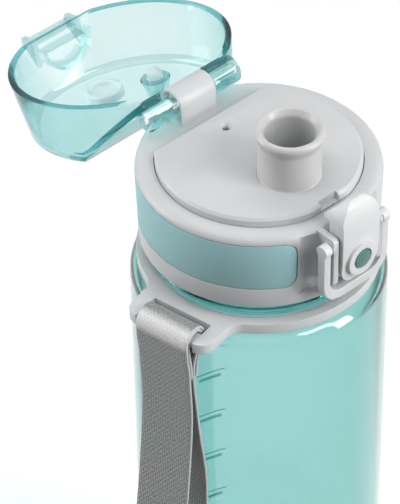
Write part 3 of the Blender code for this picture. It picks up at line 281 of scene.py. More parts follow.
class Recipe:  # a node tree with short calls
    def __init__(self, name, sky=False):
        self.stuff = (bpy.data.worlds if sky else bpy.data.materials).new(name)
        self.stuff.use_nodes = True
        self.tree = self.stuff.node_tree
        self.shader = self.tree.nodes["Background" if sky else "Principled BSDF"]

    def node(self, kind, inputs=None, **settings):
        made = self.tree.nodes.new("ShaderNode" + kind)
        for key, value in settings.items():
            setattr(made, key, value)
        for key, value in (inputs or {}).items():
            self.feed(made, key, value)
        return made

    def feed(self, node, socket, value):  # a link from another node, or a fixed value
        if isinstance(value, bpy.types.NodeSocket):
            self.tree.links.new(value, node.inputs[socket])
        else:
            node.inputs[socket].default_value = value

    def set(self, **values):
        for key, value in values.items():
            self.feed(self.shader, key.replace("_", " "), value)

    def place(self, scale=(1, 1, 1)):
        where = self.node("TexCoord").outputs["Object"]
        return self.node("Mapping", {"Vector": where, "Scale": scale}).outputs["Vector"]

    def noise(self, scale, detail=3.0, rough=0.5, where=None):
        inputs = {"Vector": where or self.place(), "Scale": scale, "Detail": detail, "Roughness": rough}
        return self.node("TexNoise", inputs).outputs["Fac"]

    def between(self, factor, low, high, start=0.3, end=0.7):
        inputs = {"Value": factor, "From Min": start, "From Max": end, "To Min": low, "To Max": high}
        return self.node("MapRange", inputs).outputs["Result"]

    def tint(self, factor, first, second):  # each colour is three numbers or another node's output
        mix = self.node("Mix", {0: factor}, data_type="RGBA")
        for socket, colour in ((6, first), (7, second)):
            self.feed(mix, socket, colour if isinstance(colour, bpy.types.NodeSocket) else (*colour, 1))
        return mix.outputs[2]

    def blend(self, factor, first, second):  # the same with plain numbers
        return self.node("Mix", {0: factor, 2: first, 3: second}).outputs[0]

    def maths(self, operation, first, second=0.0):
        return self.node("Math", {0: first, 1: second}, operation=operation).outputs[0]

    def plus(self, first, second):
        return self.maths("ADD", first, second)

    def times(self, first, second):
        return self.maths("MULTIPLY", first, second)

    def bump(self, height, depth, strength=1.0):
        inputs = {"Height": height, "Distance": depth, "Strength": strength}
        return self.node("Bump", inputs).outputs["Normal"]


mouldedLook = {
    "cloud": 90,  # slow drift between the two tones
    "spread": 0.05,  # of the roughness, either way
    "bend": 1.49,
}


def moulded(name, light, dark, rough, grain, depth):
    recipe = Recipe(name)
    cloud = recipe.noise(mouldedLook["cloud"], 2)
    fine = recipe.noise(grain, 3, 0.6)
    spread = mouldedLook["spread"]
    recipe.set(Base_Color=recipe.tint(recipe.between(cloud, 0, 1), light, dark))
    recipe.set(Roughness=recipe.between(fine, rough - spread, rough + spread))
    recipe.set(Normal=recipe.bump(fine, depth))
    recipe.set(IOR=mouldedLook["bend"])
    return recipe


clearLook = {
    "swirl": (38, 0.00003),  # waves in the wall: grain, depth
    "haze": 700,
    "coat": (0.8, 0.03),  # weight, roughness
    "body": {
        "tone": (0.98, 1.0, 1.0),
        "paintedShadeTone": (0.06, 0.34, 0.36),  # the tone of the painted shade at edges and beads
        "bend": 1.34,  # a real plastic's 1.5 leaves black streaks in thin walls
        "absorb": (0.04, 0.60, 0.575),
        "density": 310.0,
        "rough": 0.02,
        "shadow": (0.72, 0.92, 0.90),
    },
    "lid": {
        "tone": (0.90, 0.963, 0.958),
        "paintedShadeTone": (0.045, 0.32, 0.36),
        "bend": 1.05,
        "absorb": (0.05, 0.60, 0.61),
        "density": 120.0,
        "rough": 0.015,
        "shadow": (0.86, 0.96, 0.95),
    },
}


def clearPlastic(name, look):
    recipe = Recipe(name)
    grain, depth = clearLook["swirl"]
    coat, coatRough = clearLook["coat"]
    swirl = recipe.noise(grain, 2)
    haze = recipe.noise(clearLook["haze"], 2)
    recipe.set(Transmission_Weight=1.0, IOR=look["bend"], Coat_Weight=coat, Coat_Roughness=coatRough)
    # painted shade: faces marked in the deep attribute are tinted towards the darker tone
    deep = recipe.node("Attribute", attribute_name="deep").outputs["Fac"]
    recipe.set(Base_Color=recipe.tint(deep, look["tone"], look["paintedShadeTone"]))
    recipe.set(Roughness=recipe.between(haze, look["rough"] * 0.6, look["rough"] * 1.4))
    recipe.set(Normal=recipe.bump(swirl, depth))
    output = recipe.tree.nodes["Material Output"]
    inside = recipe.node("VolumeAbsorption", {"Color": (*look["absorb"], 1), "Density": look["density"]})
    recipe.feed(output, "Volume", inside.outputs["Volume"])
    through = recipe.node("BsdfTransparent", {"Color": (*look["shadow"], 1)})
    shadow = recipe.node("LightPath").outputs["Is Shadow Ray"]
    mix = recipe.node("MixShader", {0: shadow, 1: recipe.shader.outputs[0], 2: through.outputs[0]})
    recipe.feed(output, "Surface", mix.outputs[0])
    return recipe.stuff


# name: (light tone, dark tone, roughness, grain, depth of the grain)
plastics = {
    "capGreyPlastic": ((0.57, 0.578, 0.587), (0.547, 0.555, 0.566), 0.40, 1500, 0.00002),
    "ringGreyPlastic": ((0.63, 0.655, 0.658), (0.61, 0.635, 0.64), 0.40, 1400, 0.00001),
    "latchGreyPlastic": ((0.66, 0.67, 0.675), (0.64, 0.65, 0.66), 0.42, 1200, 0.000006),
    "spoutWhitePlastic": ((0.55, 0.55, 0.545), (0.535, 0.535, 0.53), 0.32, 700, 0.000004),
    "gripSoftTeal": ((0.35, 0.60, 0.62), (0.33, 0.58, 0.60), 0.55, 2200, 0.00003),
    "badgeDarkGreen": ((0.055, 0.20, 0.15), (0.04, 0.15, 0.115), 0.22, 500, 0.00002),
    "levelMarkInkAndShadow": ((0.60, 0.76, 0.75), (0.56, 0.72, 0.71), 0.5, 800, 0.00001),
}


def milkySilicone():
    recipe = moulded("milkySilicone", (0.86, 0.93, 0.94), (0.80, 0.89, 0.91), 0.35, 900, 0.00002)
    recipe.set(Transmission_Weight=0.55, IOR=1.41)
    return recipe.stuff


def brightSteel():
    recipe = Recipe("brightSteel")
    brushed = recipe.noise(900, 3, 0.6, recipe.place((0.15, 6, 6)))
    recipe.set(Base_Color=recipe.tint(brushed, (0.86, 0.86, 0.85), (0.74, 0.75, 0.75)))
    recipe.set(Metallic=1.0, Roughness=recipe.between(brushed, 0.14, 0.3))
    recipe.set(Normal=recipe.bump(brushed, 0.000015))
    return recipe.stuff


# Sizes in millimetres of cloth
weave = {
    "yarn": 0.62,
    "pick": 1.7,
    "stagger": pi * 0.9,  # from one yarn to the next
    "fleckGrain": (3.4, 1.1),  # across and along
    "heights": (0.24, 0.17, 2.0),  # of yarn, pick and fleck
    "shadeFrom": (0.45, 1.55),  # heights that look darkest and lightest
    "dark": (0.075, 0.08, 0.08),
    "light": (0.46, 0.47, 0.47),
    "bright": (20.5, 28.5),  # along the strap, where it turns over the bar: a painted highlight, where the cloth catches the lamps' sheen
    "shine": (0.80, 0.80, 0.80),
    "selvedge": (0.58, 0.585, 0.585),
    "selvedgeFrom": (8.25, 8.5),  # from the middle of the strap
    "depth": 0.00010,
}


def wovenStrap():  # U runs across the strap and V along it
    recipe = Recipe("wovenGreyStrap")
    parts = recipe.node("SeparateXYZ", {0: recipe.node("UVMap", uv_map="cloth").outputs["UV"]})
    across, along = parts.outputs[0], parts.outputs[1]
    column = recipe.maths("DIVIDE", across, weave["yarn"])
    yarn = recipe.maths("SINE", recipe.times(column, 2 * pi))
    stagger = recipe.times(recipe.maths("FLOOR", column), weave["stagger"])
    dash = recipe.maths("SINE", recipe.plus(recipe.times(along, 2 * pi / weave["pick"]), stagger))
    wide, long = weave["fleckGrain"]
    grid = recipe.node("CombineXYZ", {0: recipe.times(across, wide), 1: recipe.times(along, long)})
    fleck = recipe.noise(1.0, 2, 0.6, grid.outputs[0])
    yarnHeight, pickHeight, fleckHeight = weave["heights"]
    crossing = recipe.plus(recipe.times(yarn, yarnHeight), recipe.times(dash, pickHeight))
    height = recipe.plus(crossing, recipe.times(fleck, fleckHeight))
    shade = recipe.between(height, 0, 1, *weave["shadeFrom"])
    # painted highlight: the cloth over the bar is lightened towards the shine tone, most on the yarns' crowns
    low, high = weave["bright"]
    half = (high - low) / 2
    away = recipe.maths("ABSOLUTE", recipe.maths("SUBTRACT", along, (low + high) / 2))
    sheenFade = recipe.between(away, 1.0, 0.0, half * 0.45, half)
    paintedSheen = recipe.times(sheenFade, recipe.between(shade, 0.7, 1.0, 0, 1))
    side = recipe.between(recipe.maths("ABSOLUTE", across), 0, 0.75, *weave["selvedgeFrom"])
    colour = recipe.tint(shade, weave["dark"], weave["light"])
    colour = recipe.tint(paintedSheen, colour, weave["shine"])
    recipe.set(Base_Color=recipe.tint(side, colour, weave["selvedge"]))
    recipe.set(Roughness=recipe.between(fleck, 0.42, 0.6))
    recipe.set(Sheen_Weight=0.25, Sheen_Roughness=0.4)
    recipe.set(Normal=recipe.bump(height, weave["depth"], 0.8))
    return recipe.stuff


clearTeal = clearPlastic("clearTealPlastic", clearLook["body"])
lidTeal = clearPlastic("lidTealPlastic", clearLook["lid"])
capGrey, ringGrey, latchGrey, spoutWhite, gripTeal, badgeGreen, markInkAndShadow = (
    moulded(name, *values).stuff for name, values in plastics.items()
)
silicone = milkySilicone()
steel = brightSteel()
webbing = wovenStrap()

dressing = {
    "cap_gasket": silicone,
    "vent_valve": silicone,
    "hinge_spring": steel,
}
for name, stuff in dressing.items():
    nodes[name].data.materials.clear()
    nodes[name].data.materials.append(stuff)
print("materials are ready")


# Bottle body and its level marks

bottle = {
    "radius": 36.5,
    "height": 183.3,  # of the body up to the neck
    "wall": 1.8,
    "foot": 24.5,
    "footRecess": 1.0,
    "floor": 3.0,
    "baseEdge": 5.0,
    "shoulder": 5.0,
    "neck": 30.8,
    "bead": (187.4, 189.8, 31.7, 0.6),  # bottom, top, radius, rounding
    "finish": (26.9, 28.7),  # inner and outer radius of the neck above the bead
    "neckShadeBand": (187.0, 192.5, 0.85),  # bottom, top, how strong the painted shade is
    "thread": (201.0, 4.5, 1.25, 1.05),  # start, pitch, turns, depth
    "threadWidth": (0.9, 0.5),  # half its width at the root and at the crest
    "threadSteps": 96,
    "threadRunOut": 5,  # steps over which each end fades away
    "threadSink": (0.08, 0.04),  # how far its root and its faded crest lie inside the wall
}


def makeThread():  # a loop screwed up the neck, with both ends run out into the wall
    low, pitch, turns, depth = bottle["thread"]
    wall = bottle["finish"][1]
    foot, crest = bottle["threadWidth"]
    steps, fading = bottle["threadSteps"], bottle["threadRunOut"]
    rootSink, crestSink = bottle["threadSink"]
    deselectAll()
    bpy.ops.mesh.primitive_plane_add(size=1, rotation=(pi / 2, 0, 0), location=(wall * mm, 0, low * mm))
    thread = settle(bpy.context.object)
    edit(thread)
    bpy.ops.mesh.select_all(action="SELECT")
    bpy.ops.mesh.delete(type="ONLY_FACE")
    bpy.ops.object.mode_set(mode="OBJECT")
    screw = thread.modifiers.new("screw", "SCREW")
    screw.angle, screw.screw_offset = radians(360 * turns), pitch * turns * mm
    screw.steps = screw.render_steps = steps
    applyModifiers(thread)
    for i, corner in enumerate(thread.data.vertices):  # four corners to a step, the lower pair first
        row, outside, upper = i // 4, i % 2, i % 4 > 1
        fade = min(1, row / fading, (steps - row) / fading)
        radius = wall + depth * fade - crestSink * (1 - fade) if outside else wall - rootSink
        half = crest if outside else foot
        turn = radians(360 * turns) * row / steps
        height = low + pitch * turns * row / steps + (half if upper else -half)
        corner.co = (radius * cos(turn) * mm, radius * sin(turn) * mm, height * mm)
    edit(thread, "EDGE")
    bpy.ops.mesh.select_non_manifold()
    bpy.ops.mesh.fill()
    bpy.ops.object.mode_set(mode="OBJECT")
    return tidyMesh(thread)


def bodyPaintedShade(x, y, z, normal):  # painted shade on the bead and the foot of the finish, under the cap
    low, high, deep = bottle["neckShadeBand"]
    return deep if low < z < high and hypot(x, y) > bottle["finish"][1] - 0.1 else 0.0


def makeBody():
    s = bottle
    inner, innerNeck = s["radius"] - s["wall"], s["neck"] - s["wall"]
    throat = s["height"] - s["wall"]
    beadLow, beadTop, beadRadius, beadRound = s["bead"]
    bore, finish = s["finish"]
    profile = rounded(
        [
            (s["foot"], s["footRecess"], 0),
            (s["foot"] + s["footRecess"], 0, 0.4),
            (s["radius"], 0, s["baseEdge"]),
            (s["radius"], s["height"], s["shoulder"]),
            (s["neck"], s["height"], 0.2),
            (s["neck"], beadLow, 0.1),
            (beadRadius, beadLow, beadRound),
            (beadRadius, beadTop, beadRound),
            (finish, beadTop + 1.0, 0.3),
            (finish, levels["rim"], 0.6),
            (bore, levels["rim"], 0.6),
            (bore, beadTop, 0.3),
            (innerNeck, beadLow, 0.3),
            (innerNeck, throat, 0.2),
            (inner, throat, s["shoulder"] - s["wall"]),
            (inner, s["floor"], s["baseEdge"] - s["wall"]),
            (1.0, s["floor"], 0),
        ]
    )
    body = turned(profile, 192, filled=True)
    combine(body, makeThread(), "UNION")
    markPaintedShade(body, bodyPaintedShade)
    smooth(body, 30)
    finishPiece(body, "bottleBody", "bottle", clearTeal, "clear_teal", "bottle_body")


marks = {
    "heights": (122.0, 104.6, 87.2, 69.7, 52.3, 34.8),
    "thin": (64.0, 80.0, 0.5),  # first and last degree from X, height
    "thick": (66.0, 78.0, 1.2),
    "drop": 2.2,  # from each thin printed mark to the thick one under it, which is its painted shadow
    "film": 0.03,
}


def makeMark(height, first, last, tall):  # a small plate spun round the wall
    radius = bottle["radius"] + marks["film"]
    deselectAll()
    bpy.ops.mesh.primitive_plane_add(size=1, rotation=(pi / 2, 0, 0))
    plate = bpy.context.object
    plate.scale = (marks["film"] * mm, tall * mm, 1)
    plate.location = (radius * mm, 0, height * mm)
    settle(plate)
    turnAbout(plate, "Z", first)
    edit(plate)
    bpy.ops.mesh.select_all(action="SELECT")
    bpy.ops.mesh.spin(steps=16, angle=radians(first - last), center=(0, 0, 0), axis=(0, 0, 1))
    bpy.ops.object.mode_set(mode="OBJECT")
    return tidyMesh(plate)


def makeMarks():
    made = []
    for height in marks["heights"]:
        made.append(makeMark(height, *marks["thin"]))
        # painted shadow: each printed line gets a thicker mark under it, in the same ink
        made.append(makeMark(height - marks["drop"], *marks["thick"]))
    finishPiece(joinAll(made), "levelMarks", "bottle", markInkAndShadow, "green_inlay")


makeBody()
makeMarks()
print("bottle body is made")


# Wrist strap: one ribbon, sewn round the tab's bar with both ends in the stack

strap = {
    "width": 17.4,
    "thick": 0.86,
    "columns": 12,
    "spacing": 1.6,  # between the rows of faces along it
    "edgeRound": 0.3,
    "bar": (41.7, 185.25),  # out from the axis, height
    "outerWrap": (3.90, 196, -12),  # radius, first and last degree round the bar
    "innerWrap": (3.00, 194, -14),
    # (out, height) down the middle of the cloth
    "rearEnd": [(41.66, 171.75), (41.3, 172.8), (41.0, 175.5), (40.7, 178.0), (39.6, 180.8)],
    "front": [
        (45.3, 180.0), (44.68, 176.5), (44.38, 172.0), (44.1, 166.0), (43.8, 158.5), (44.13, 150.5),
        (44.58, 145.2), (45.4, 137.2), (46.65, 126.5), (47.97, 117.0), (49.45, 106.0), (50.75, 94.0),
        (51.15, 83.0), (50.56, 72.0), (48.8, 62.2), (46.5, 54.3), (44.0, 49.2), (41.6, 46.95),
    ],
    "rear": [
        (39.25, 49.5), (37.85, 56.0), (37.45, 66.0), (37.4, 80.0), (37.4, 98.0), (37.4, 117.0),
        (37.55, 128.5), (38.45, 136.5), (40.05, 147.0), (41.55, 160.5), (42.15, 166.0), (42.55, 170.6),
        (42.45, 174.0), (42.05, 177.5), (40.9, 180.6),
    ],
    "frontEnd": [(44.2, 180.0), (43.7, 177.0), (43.48, 174.0), (43.46, 171.75)],
}


def wrap(radius, first, last, steps=14):
    out, up = strap["bar"]
    turns = [radians(first + (last - first) * i / steps) for i in range(steps + 1)]
    return [(out + radius * cos(turn), up + radius * sin(turn)) for turn in turns]


def curvePoint(a, b, c, d, t):  # on a smooth curve from b to c that also heeds the points before and after
    steady, gain = 2 * b, (c - a) * t
    return (steady + gain + (2 * a - 5 * b + 4 * c - d) * t**2 + (3 * b - a - 3 * c + d) * t**3) / 2


def strapRoute():
    s = strap
    points = s["rearEnd"] + wrap(*s["outerWrap"]) + s["front"]
    points += s["rear"] + wrap(*s["innerWrap"]) + s["frontEnd"]
    route, ends = [], [points[0]] + points + [points[-1]]
    for i in range(1, len(ends) - 2):
        near = [Vector(ends[i + k]) for k in (-1, 0, 1, 2)]
        pieces = max(1, round((near[2] - near[1]).length / s["spacing"]))
        route += [curvePoint(*near, k / pieces) for k in range(pieces)]
    return route + [Vector(points[-1])]


def makeStrap():
    route = strapRoute()
    lengths = [0.0]
    for before, after in zip(route, route[1:]):
        lengths.append(lengths[-1] + (after - before).length)
    deselectAll()
    bpy.ops.mesh.primitive_grid_add(x_subdivisions=strap["columns"], y_subdivisions=len(route) - 1, size=1)
    ribbon = bpy.context.object
    sheet = bmesh.new()
    sheet.from_mesh(ribbon.data)
    layer = sheet.loops.layers.uv.new("cloth")
    rows = {corner: round((corner.co.y + 0.5) * (len(route) - 1)) for corner in sheet.verts}
    for corner, row in rows.items():
        corner.co = (route[row].x * mm, corner.co.x * strap["width"] * mm, route[row].y * mm)
    for face in sheet.faces:
        for loop in face.loops:
            loop[layer].uv = (loop.vert.co.y / mm, lengths[rows[loop.vert]])
    sheet.to_mesh(ribbon.data)
    sheet.free()
    turnAbout(ribbon, "Z", levels["tabTurn"])
    thick = ribbon.modifiers.new("thickness", "SOLIDIFY")
    thick.thickness = strap["thick"] * mm
    thick.offset = 0
    applyModifiers(ribbon)
    bevelSharp(ribbon, strap["edgeRound"], 2, 60)
    smooth(ribbon, 50)
    finishPiece(ribbon, "strapWebbing", "strap", webbing, "grey_webbing", "wrist_strap")
    print("strap is", round(lengths[-1], 1), "mm long")


makeStrap()
softened("strap_ring", "strapRing", "ring", ringGrey, "grey_plastic", 0.55, 4)
print("strap and its ring are made")


# Cap: collar, deck, grip band, spout

softened("cap_collar", "capCollar", "cap", capGrey, "grey_plastic", 0.3, 3)
softened("inner_cap", "drinkingDeck", "cap", capGrey, "grey_plastic", 0.35, 3)
softened("grip_band", "gripBand", "cap", gripTeal, "soft_teal", 0.2, 2)

mouthpiece = {
    "centre": (0.0, -12.2),
    "bore": 7.0,
    "tube": 8.8,
    "waist": (8.7, 231.3, 2.5),  # radius, height, rounding
    "lip": 10.1,
    "lipRound": 1.5,
    "crestRound": 0.9,
    "funnel": (2.4, 2.0),  # depth, rounding
    "collar": 9.04,  # fills the hole in the deck
    "flange": (216.0, 1.5, 10.8),  # bottom, thickness, radius
    "edgeRound": 0.3,
    "top": 236.1,
}


def makeSpout():
    s = mouthpiece
    low, thick, wide = s["flange"]
    funnel, funnelRound = s["funnel"]
    edge = s["edgeRound"]
    deck = levels["deck"]
    profile = rounded(
        [
            (s["bore"], low, edge),
            (wide, low, edge),
            (wide, low + thick, edge),
            (s["collar"], low + thick, 0),
            (s["collar"], deck - 0.1, 0.1),
            (s["tube"], deck + 0.2, edge),
            s["waist"],
            (s["lip"], s["top"] - s["lipRound"], s["lipRound"]),
            (s["lip"] - s["lipRound"], s["top"], s["crestRound"]),
            (s["bore"], s["top"] - funnel, funnelRound),
        ],
        10,
    )
    profile.append(profile[0])
    spout = turned(profile, 96, s["centre"])
    smooth(spout, 35)
    finishPiece(spout, "mouthSpout", "cap", spoutWhite, "white_plastic", "spout")


makeSpout()
print("cap is made")


# Lid, shaped shut and then swung open about the hinge

dome = {
    "foot": 217.8,
    "top": 237.8,
    "ceiling": 236.2,
    "radius": (32.4, 29.7),  # at the foot and at the top
    "footRound": 0.45,
    "fillet": 3.0,
    "ceilingRound": 1.8,
    "wall": 2.0,
    "front": 29.3,
    "frontWall": 1.2,
    "facet": ((10.0, 237.8), (30.5, 219.0)),  # (back, height) of the slanted side's two edges
    "facetRound": 1.2,
    "roomStart": (4.0, 0.4),  # how far the room's tool starts below the foot, and how much it flares there
    "roomMouth": (0.25, 0.5),  # its flare and its slanted edge at the foot
    "softEdge": 0.5,
    "arch": (220.3, 7.4, 1.6, 3.8),  # height, radius, wall, depth
    "archFloor": 221.8,
    "cup": (0.5, 13.8),
    "cupRim": 222.6,
    "cupRadii": (4.4, 3.41, 2.75),  # at the rim, half way and at the stem
    "cupDepths": (3.2, 6.4),  # from the rim to half way and to the stem
    "cupRounds": (0.3, 3),  # at the rim and half way
    "plugHole": (2.5, 216.0, 3.8),  # radius, start, depth past the cup's rim
    "rootDepth": 2.0,  # how far the ears and the lip reach into the wall
    "ear": (7.1, 9.1),  # inside and outside from the middle
    "earReach": (5.5, 5.28),  # in front of the wall at the top and at the foot
    "earHeights": (218.1, 221.46, 229.6),  # foot, start of the slope, top of the block it is cut from
    "earSlope": 5.2,
    "earLean": 0.065,
    "earRound": 0.45,
    "lip": (7.9, 3.9, 218.4, 220.0),  # half width, reach, bottom, top
    "lipRound": 0.3,
    "knuckle": (4.28, 0.4),  # radius, rounding
    "knuckleSpan": (6.9, 16.4),
    "knuckleRoot": 0.6,  # how far it starts inside its span, to be cut back flush
    "pinHole": (1.8, 24.0),  # radius, reach
    "barrelRoom": (5.8, 4.58, 2.14),  # radius round the cap's knuckle, back from the pin, below the pin
    "ledgeRoom": (24.5, 219.0),  # behind this and below this the lid clears the cap's ledge
    "outside": (34.0, 40.0, 213.8),  # half width, back and bottom of tools that reach past the lid
    "facetShadeBand": 3.0,  # how far the painted shade reaches from the edge between roof and facet
    # painted shade, as a share of the darker tone, on each of these places
    "deep": {"ears": 0.36, "facetEdge": 1.0, "cupRim": 0.8, "rim": 1.0, "roofEdge": 0.5},
}


def facetCut(piece, inset):
    (topBack, top), (footBack, foot) = dome["facet"]
    run, drop = footBack - topBack, top - foot
    length = hypot(run, drop)
    normal = (0, drop / length, run / length)
    cutPlane(piece, (0, topBack - inset * normal[1], top - inset * normal[2]), normal)


def domeBlock():
    s = dome
    low, high = s["radius"]
    foot, top = s["foot"], s["top"]
    outline = [(1.0, foot, 0), (low, foot, s["footRound"]), (high, top, s["fillet"]), (1.0, top, 0)]
    shell = turned(rounded(outline, 8), 192, filled=True)
    cutPlane(shell, (0, -s["front"], 0), (0, -1, 0))
    facetCut(shell, 0)
    back = s["facet"][0][0]

    def onFacetEdge(a, b):
        return max(abs(a.y - back), abs(b.y - back)) < 0.05 and min(a.z, b.z) > top - 0.05

    bevelEdges(shell, onFacetEdge, s["facetRound"], 3)
    bevelSharp(shell, s["softEdge"], 4, 24)
    return shell


def domeRoom():  # the room under the lid, with the arch and the cup left standing in it
    s = dome
    low, high = s["radius"]
    slope = (low - high) / (s["top"] - s["foot"])
    below, startFlare = s["roomStart"]
    flare, edge = s["roomMouth"]
    mouth = low - s["wall"]
    profile = rounded(
        [
            (1.0, s["foot"] - below, 0),
            (mouth + slope * below + startFlare, s["foot"] - below, 0),
            (mouth + flare, s["foot"], 0),
            (mouth - slope * edge, s["foot"] + edge, 0),
            (high - s["wall"] + slope * (s["top"] - s["ceiling"]), s["ceiling"], s["ceilingRound"]),
            (1.0, s["ceiling"], 0),
        ],
        8,
    )
    room = turned(profile, 192, filled=True)
    cutPlane(room, (0, -s["front"] + s["frontWall"], 0), (0, -1, 0))
    facetCut(room, s["wall"])
    height, radius, wall, depth = s["arch"]
    arch = rod((0, height), radius + wall, "Y", -s["front"] - 1, -s["front"] + depth + wall - 0.3, 96)
    combine(room, cutPlane(arch, (0, 0, height), (0, 0, -1)))
    return combine(room, cupBlock())


def cupBlock():  # tapers from its open rim up to the stem, which runs on past the roof
    rim = dome["cupRim"]
    wide, half, stem = dome["cupRadii"]
    halfWay, stemStart = dome["cupDepths"]
    rimRound, sideRound = dome["cupRounds"]
    above = 240.0
    outline = [
        (0.5, rim, 0),
        (wide, rim, rimRound),
        (half, rim + halfWay, sideRound),
        (stem, rim + stemStart, 0),
        (stem, above, 0),
        (0.5, above, 0),
    ]
    return turned(rounded(outline, 4), 64, dome["cup"], True)


def knucklePair():
    start, end = dome["knuckleSpan"]
    radius, rounding = dome["knuckle"]
    pair = rod(levels["hinge"][1:], radius, "X", start - dome["knuckleRoot"], end, 96)
    bevelEdges(pair, lambda a, b: abs(a.x - b.x) < 0.01 and a.x > 10, rounding, 3)
    return mirroredTwin(pair)


def earPair():
    s = dome
    front = s["front"]
    inside, outside = s["ear"]
    reach, footReach = s["earReach"]
    foot, slopeStart, top = s["earHeights"]
    ear = block((inside, -front - reach, foot), (outside, -front + s["rootDepth"], top))
    cutPlane(ear, (0, -front - reach, slopeStart), (0, -(top - slopeStart), s["earSlope"]))
    cutPlane(ear, (0, -front - footReach, foot), (0, -1, -s["earLean"]))
    bevelEdges(ear, lambda a, b: min(a.y, b.y) < -front - 0.1, s["earRound"], 3)
    return mirroredTwin(ear)


def catchLip():  # the latch's hook holds it
    front = dome["front"]
    half, reach, low, high = dome["lip"]
    lip = block((-half, -front - reach, low), (half, -front + dome["rootDepth"], high))
    bevelEdges(lip, lambda a, b: max(a.y, b.y) < -front - 3, dome["lipRound"], 3)
    return lip


def cutHingeRoom(lid):  # clears the cap's knuckle, its ledge and the pin
    hinge = levels["hinge"]
    inside = dome["knuckleSpan"][0]
    radius, behind, below = dome["barrelRoom"]
    ledgeBack, ledgeTop = dome["ledgeRoom"]
    side, back, bottom = dome["outside"]
    hole, reach = dome["pinHole"]
    combine(lid, rod(hinge[1:], radius, "X", -inside, inside, 96))
    combine(lid, block((-inside, hinge[1] - behind, bottom), (inside, back, hinge[2] - below)))
    combine(lid, block((-side, ledgeBack, bottom), (side, back, ledgeTop)))
    combine(lid, rod(hinge[1:], hole, "X", -reach, reach, 48))


def lidPaintedShade(x, y, z, normal):  # how strong the painted shade is, from 0 to 1
    s, deep = dome, dome["deep"]
    if y < -s["front"] - 0.2:
        return deep["ears"]
    if abs(y - s["facet"][0][0]) < s["facetShadeBand"] and z > s["top"] - s["facetShadeBand"]:
        return deep["facetEdge"]
    if hypot(x - s["cup"][0], y - s["cup"][1]) < s["cupRadii"][0] + 0.3 and z < s["cupRim"] + 0.4:
        return deep["cupRim"]
    if z < s["foot"] + 0.6 and normal.z < -0.3:
        return deep["rim"]
    if z > s["top"] - 0.9 * s["fillet"] and 0.1 < normal.z < 0.96:
        return deep["roofEdge"]
    return 0.0


def makeLid():
    s = dome
    lid = domeBlock()
    for tool in (earPair(), catchLip(), knucklePair()):
        combine(lid, tool, "UNION")
    cutHingeRoom(lid)
    combine(lid, domeRoom())
    height, radius, _, depth = s["arch"]
    niche = rod((0, height), radius, "Y", -s["front"] - 6, -s["front"] + depth, 96)
    combine(lid, cutPlane(niche, (0, 0, s["archFloor"]), (0, 0, -1)))
    hole, start, deep = s["plugHole"]
    combine(lid, rod(s["cup"], hole, "Z", start, s["cupRim"] + deep, 48))
    tidyMesh(lid, 0.000003)
    scoreLine(lid, (0, s["facet"][0][0] - s["facetShadeBand"], 0), (0, 1, 0))
    scoreLine(lid, (0, 0, s["top"] - s["facetShadeBand"]), (0, 0, 1))
    markPaintedShade(lid, lidPaintedShade)
    swingOpen(lid)
    smooth(lid, 30)
    finishPiece(lid, "domeLid", "lid", lidTeal, "clear_teal", "lid_shell")


stopper = {"radius": 5.9, "wall": 1.6, "low": 233.1, "top": 235.9, "lipRound": 0.55}
bullet = {"radius": 2.2, "nose": 219.5, "top": 226.1, "edge": 0.3}


def makeStopper():
    s = stopper
    inner, inside = s["radius"] - s["wall"], s["low"] + s["wall"]
    profile = rounded(
        [
            (1.0, s["top"], 0),
            (s["radius"], s["top"], 0.2),
            (s["radius"], s["low"], s["lipRound"]),
            (inner, s["low"], s["lipRound"]),
            (inner, inside, 0.4),
            (1.0, inside, 0),
        ]
    )
    piece = turned(profile, 64, mouthpiece["centre"], True)
    swingOpen(piece)
    smooth(piece, 35)
    finishPiece(piece, "spoutStopper", "lid", silicone, "milky_silicone", "spout_seal")


def makeBullet():
    s = bullet
    r = s["radius"]
    nose = [(r * sin(radians(a)), s["nose"] + r - r * cos(radians(a))) for a in range(6, 91, 7)]
    piece = turned(nose + [(r, s["top"] - s["edge"]), (r - s["edge"], s["top"])], 48, dome["cup"], True)
    swingOpen(piece)
    smooth(piece, 35)
    finishPiece(piece, "ventBullet", "lid", silicone, "milky_silicone", "vent_plug")


# node: (piece, level, radius, reach to each side)
pins = {
    "hinge_pin": ("hingePin", "hinge", 1.5, 16.2),
    "latch_pin": ("latchPin", "latch", 1.0, 11.2),
}


def makePin(node):
    name, level, radius, reach = pins[node]
    pin = rod(levels[level][1:], radius, "X", -reach, reach, 40)
    bevelEdges(pin, lambda a, b: abs(a.x - b.x) < 0.01, 0.25, 2)
    smooth(pin, 35)
    finishPiece(pin, name, "cap", steel, "steel", node)


makeLid()
makeStopper()
makeBullet()
makePin("hinge_pin")
print("lid is made")


# Latch

softened("latch_lever", "latchLever", "lever", latchGrey, "grey_plastic", 0.55, 4)
softened("latch_inlay", "latchBadge", "lever", badgeGreen, "green_inlay", 0.12, 2)
softened("lock_bail", "lockBail", "bail", latchGrey, "grey_plastic", 0.6, 4)
makePin("latch_pin")


def makeLatchSpring():  # pressed against the cap as the lever's foot rocks in
    spring = copyOf("latch_spring", "latchSpring")
    tidyMesh(spring)
    smooth(spring, 50)
    finishPiece(spring, "latchSpring", "cap", steel, "steel", "latch_spring")
    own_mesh(spring)


makeLatchSpring()
print("latch is made")


# Floor, light and camera, in metres and degrees

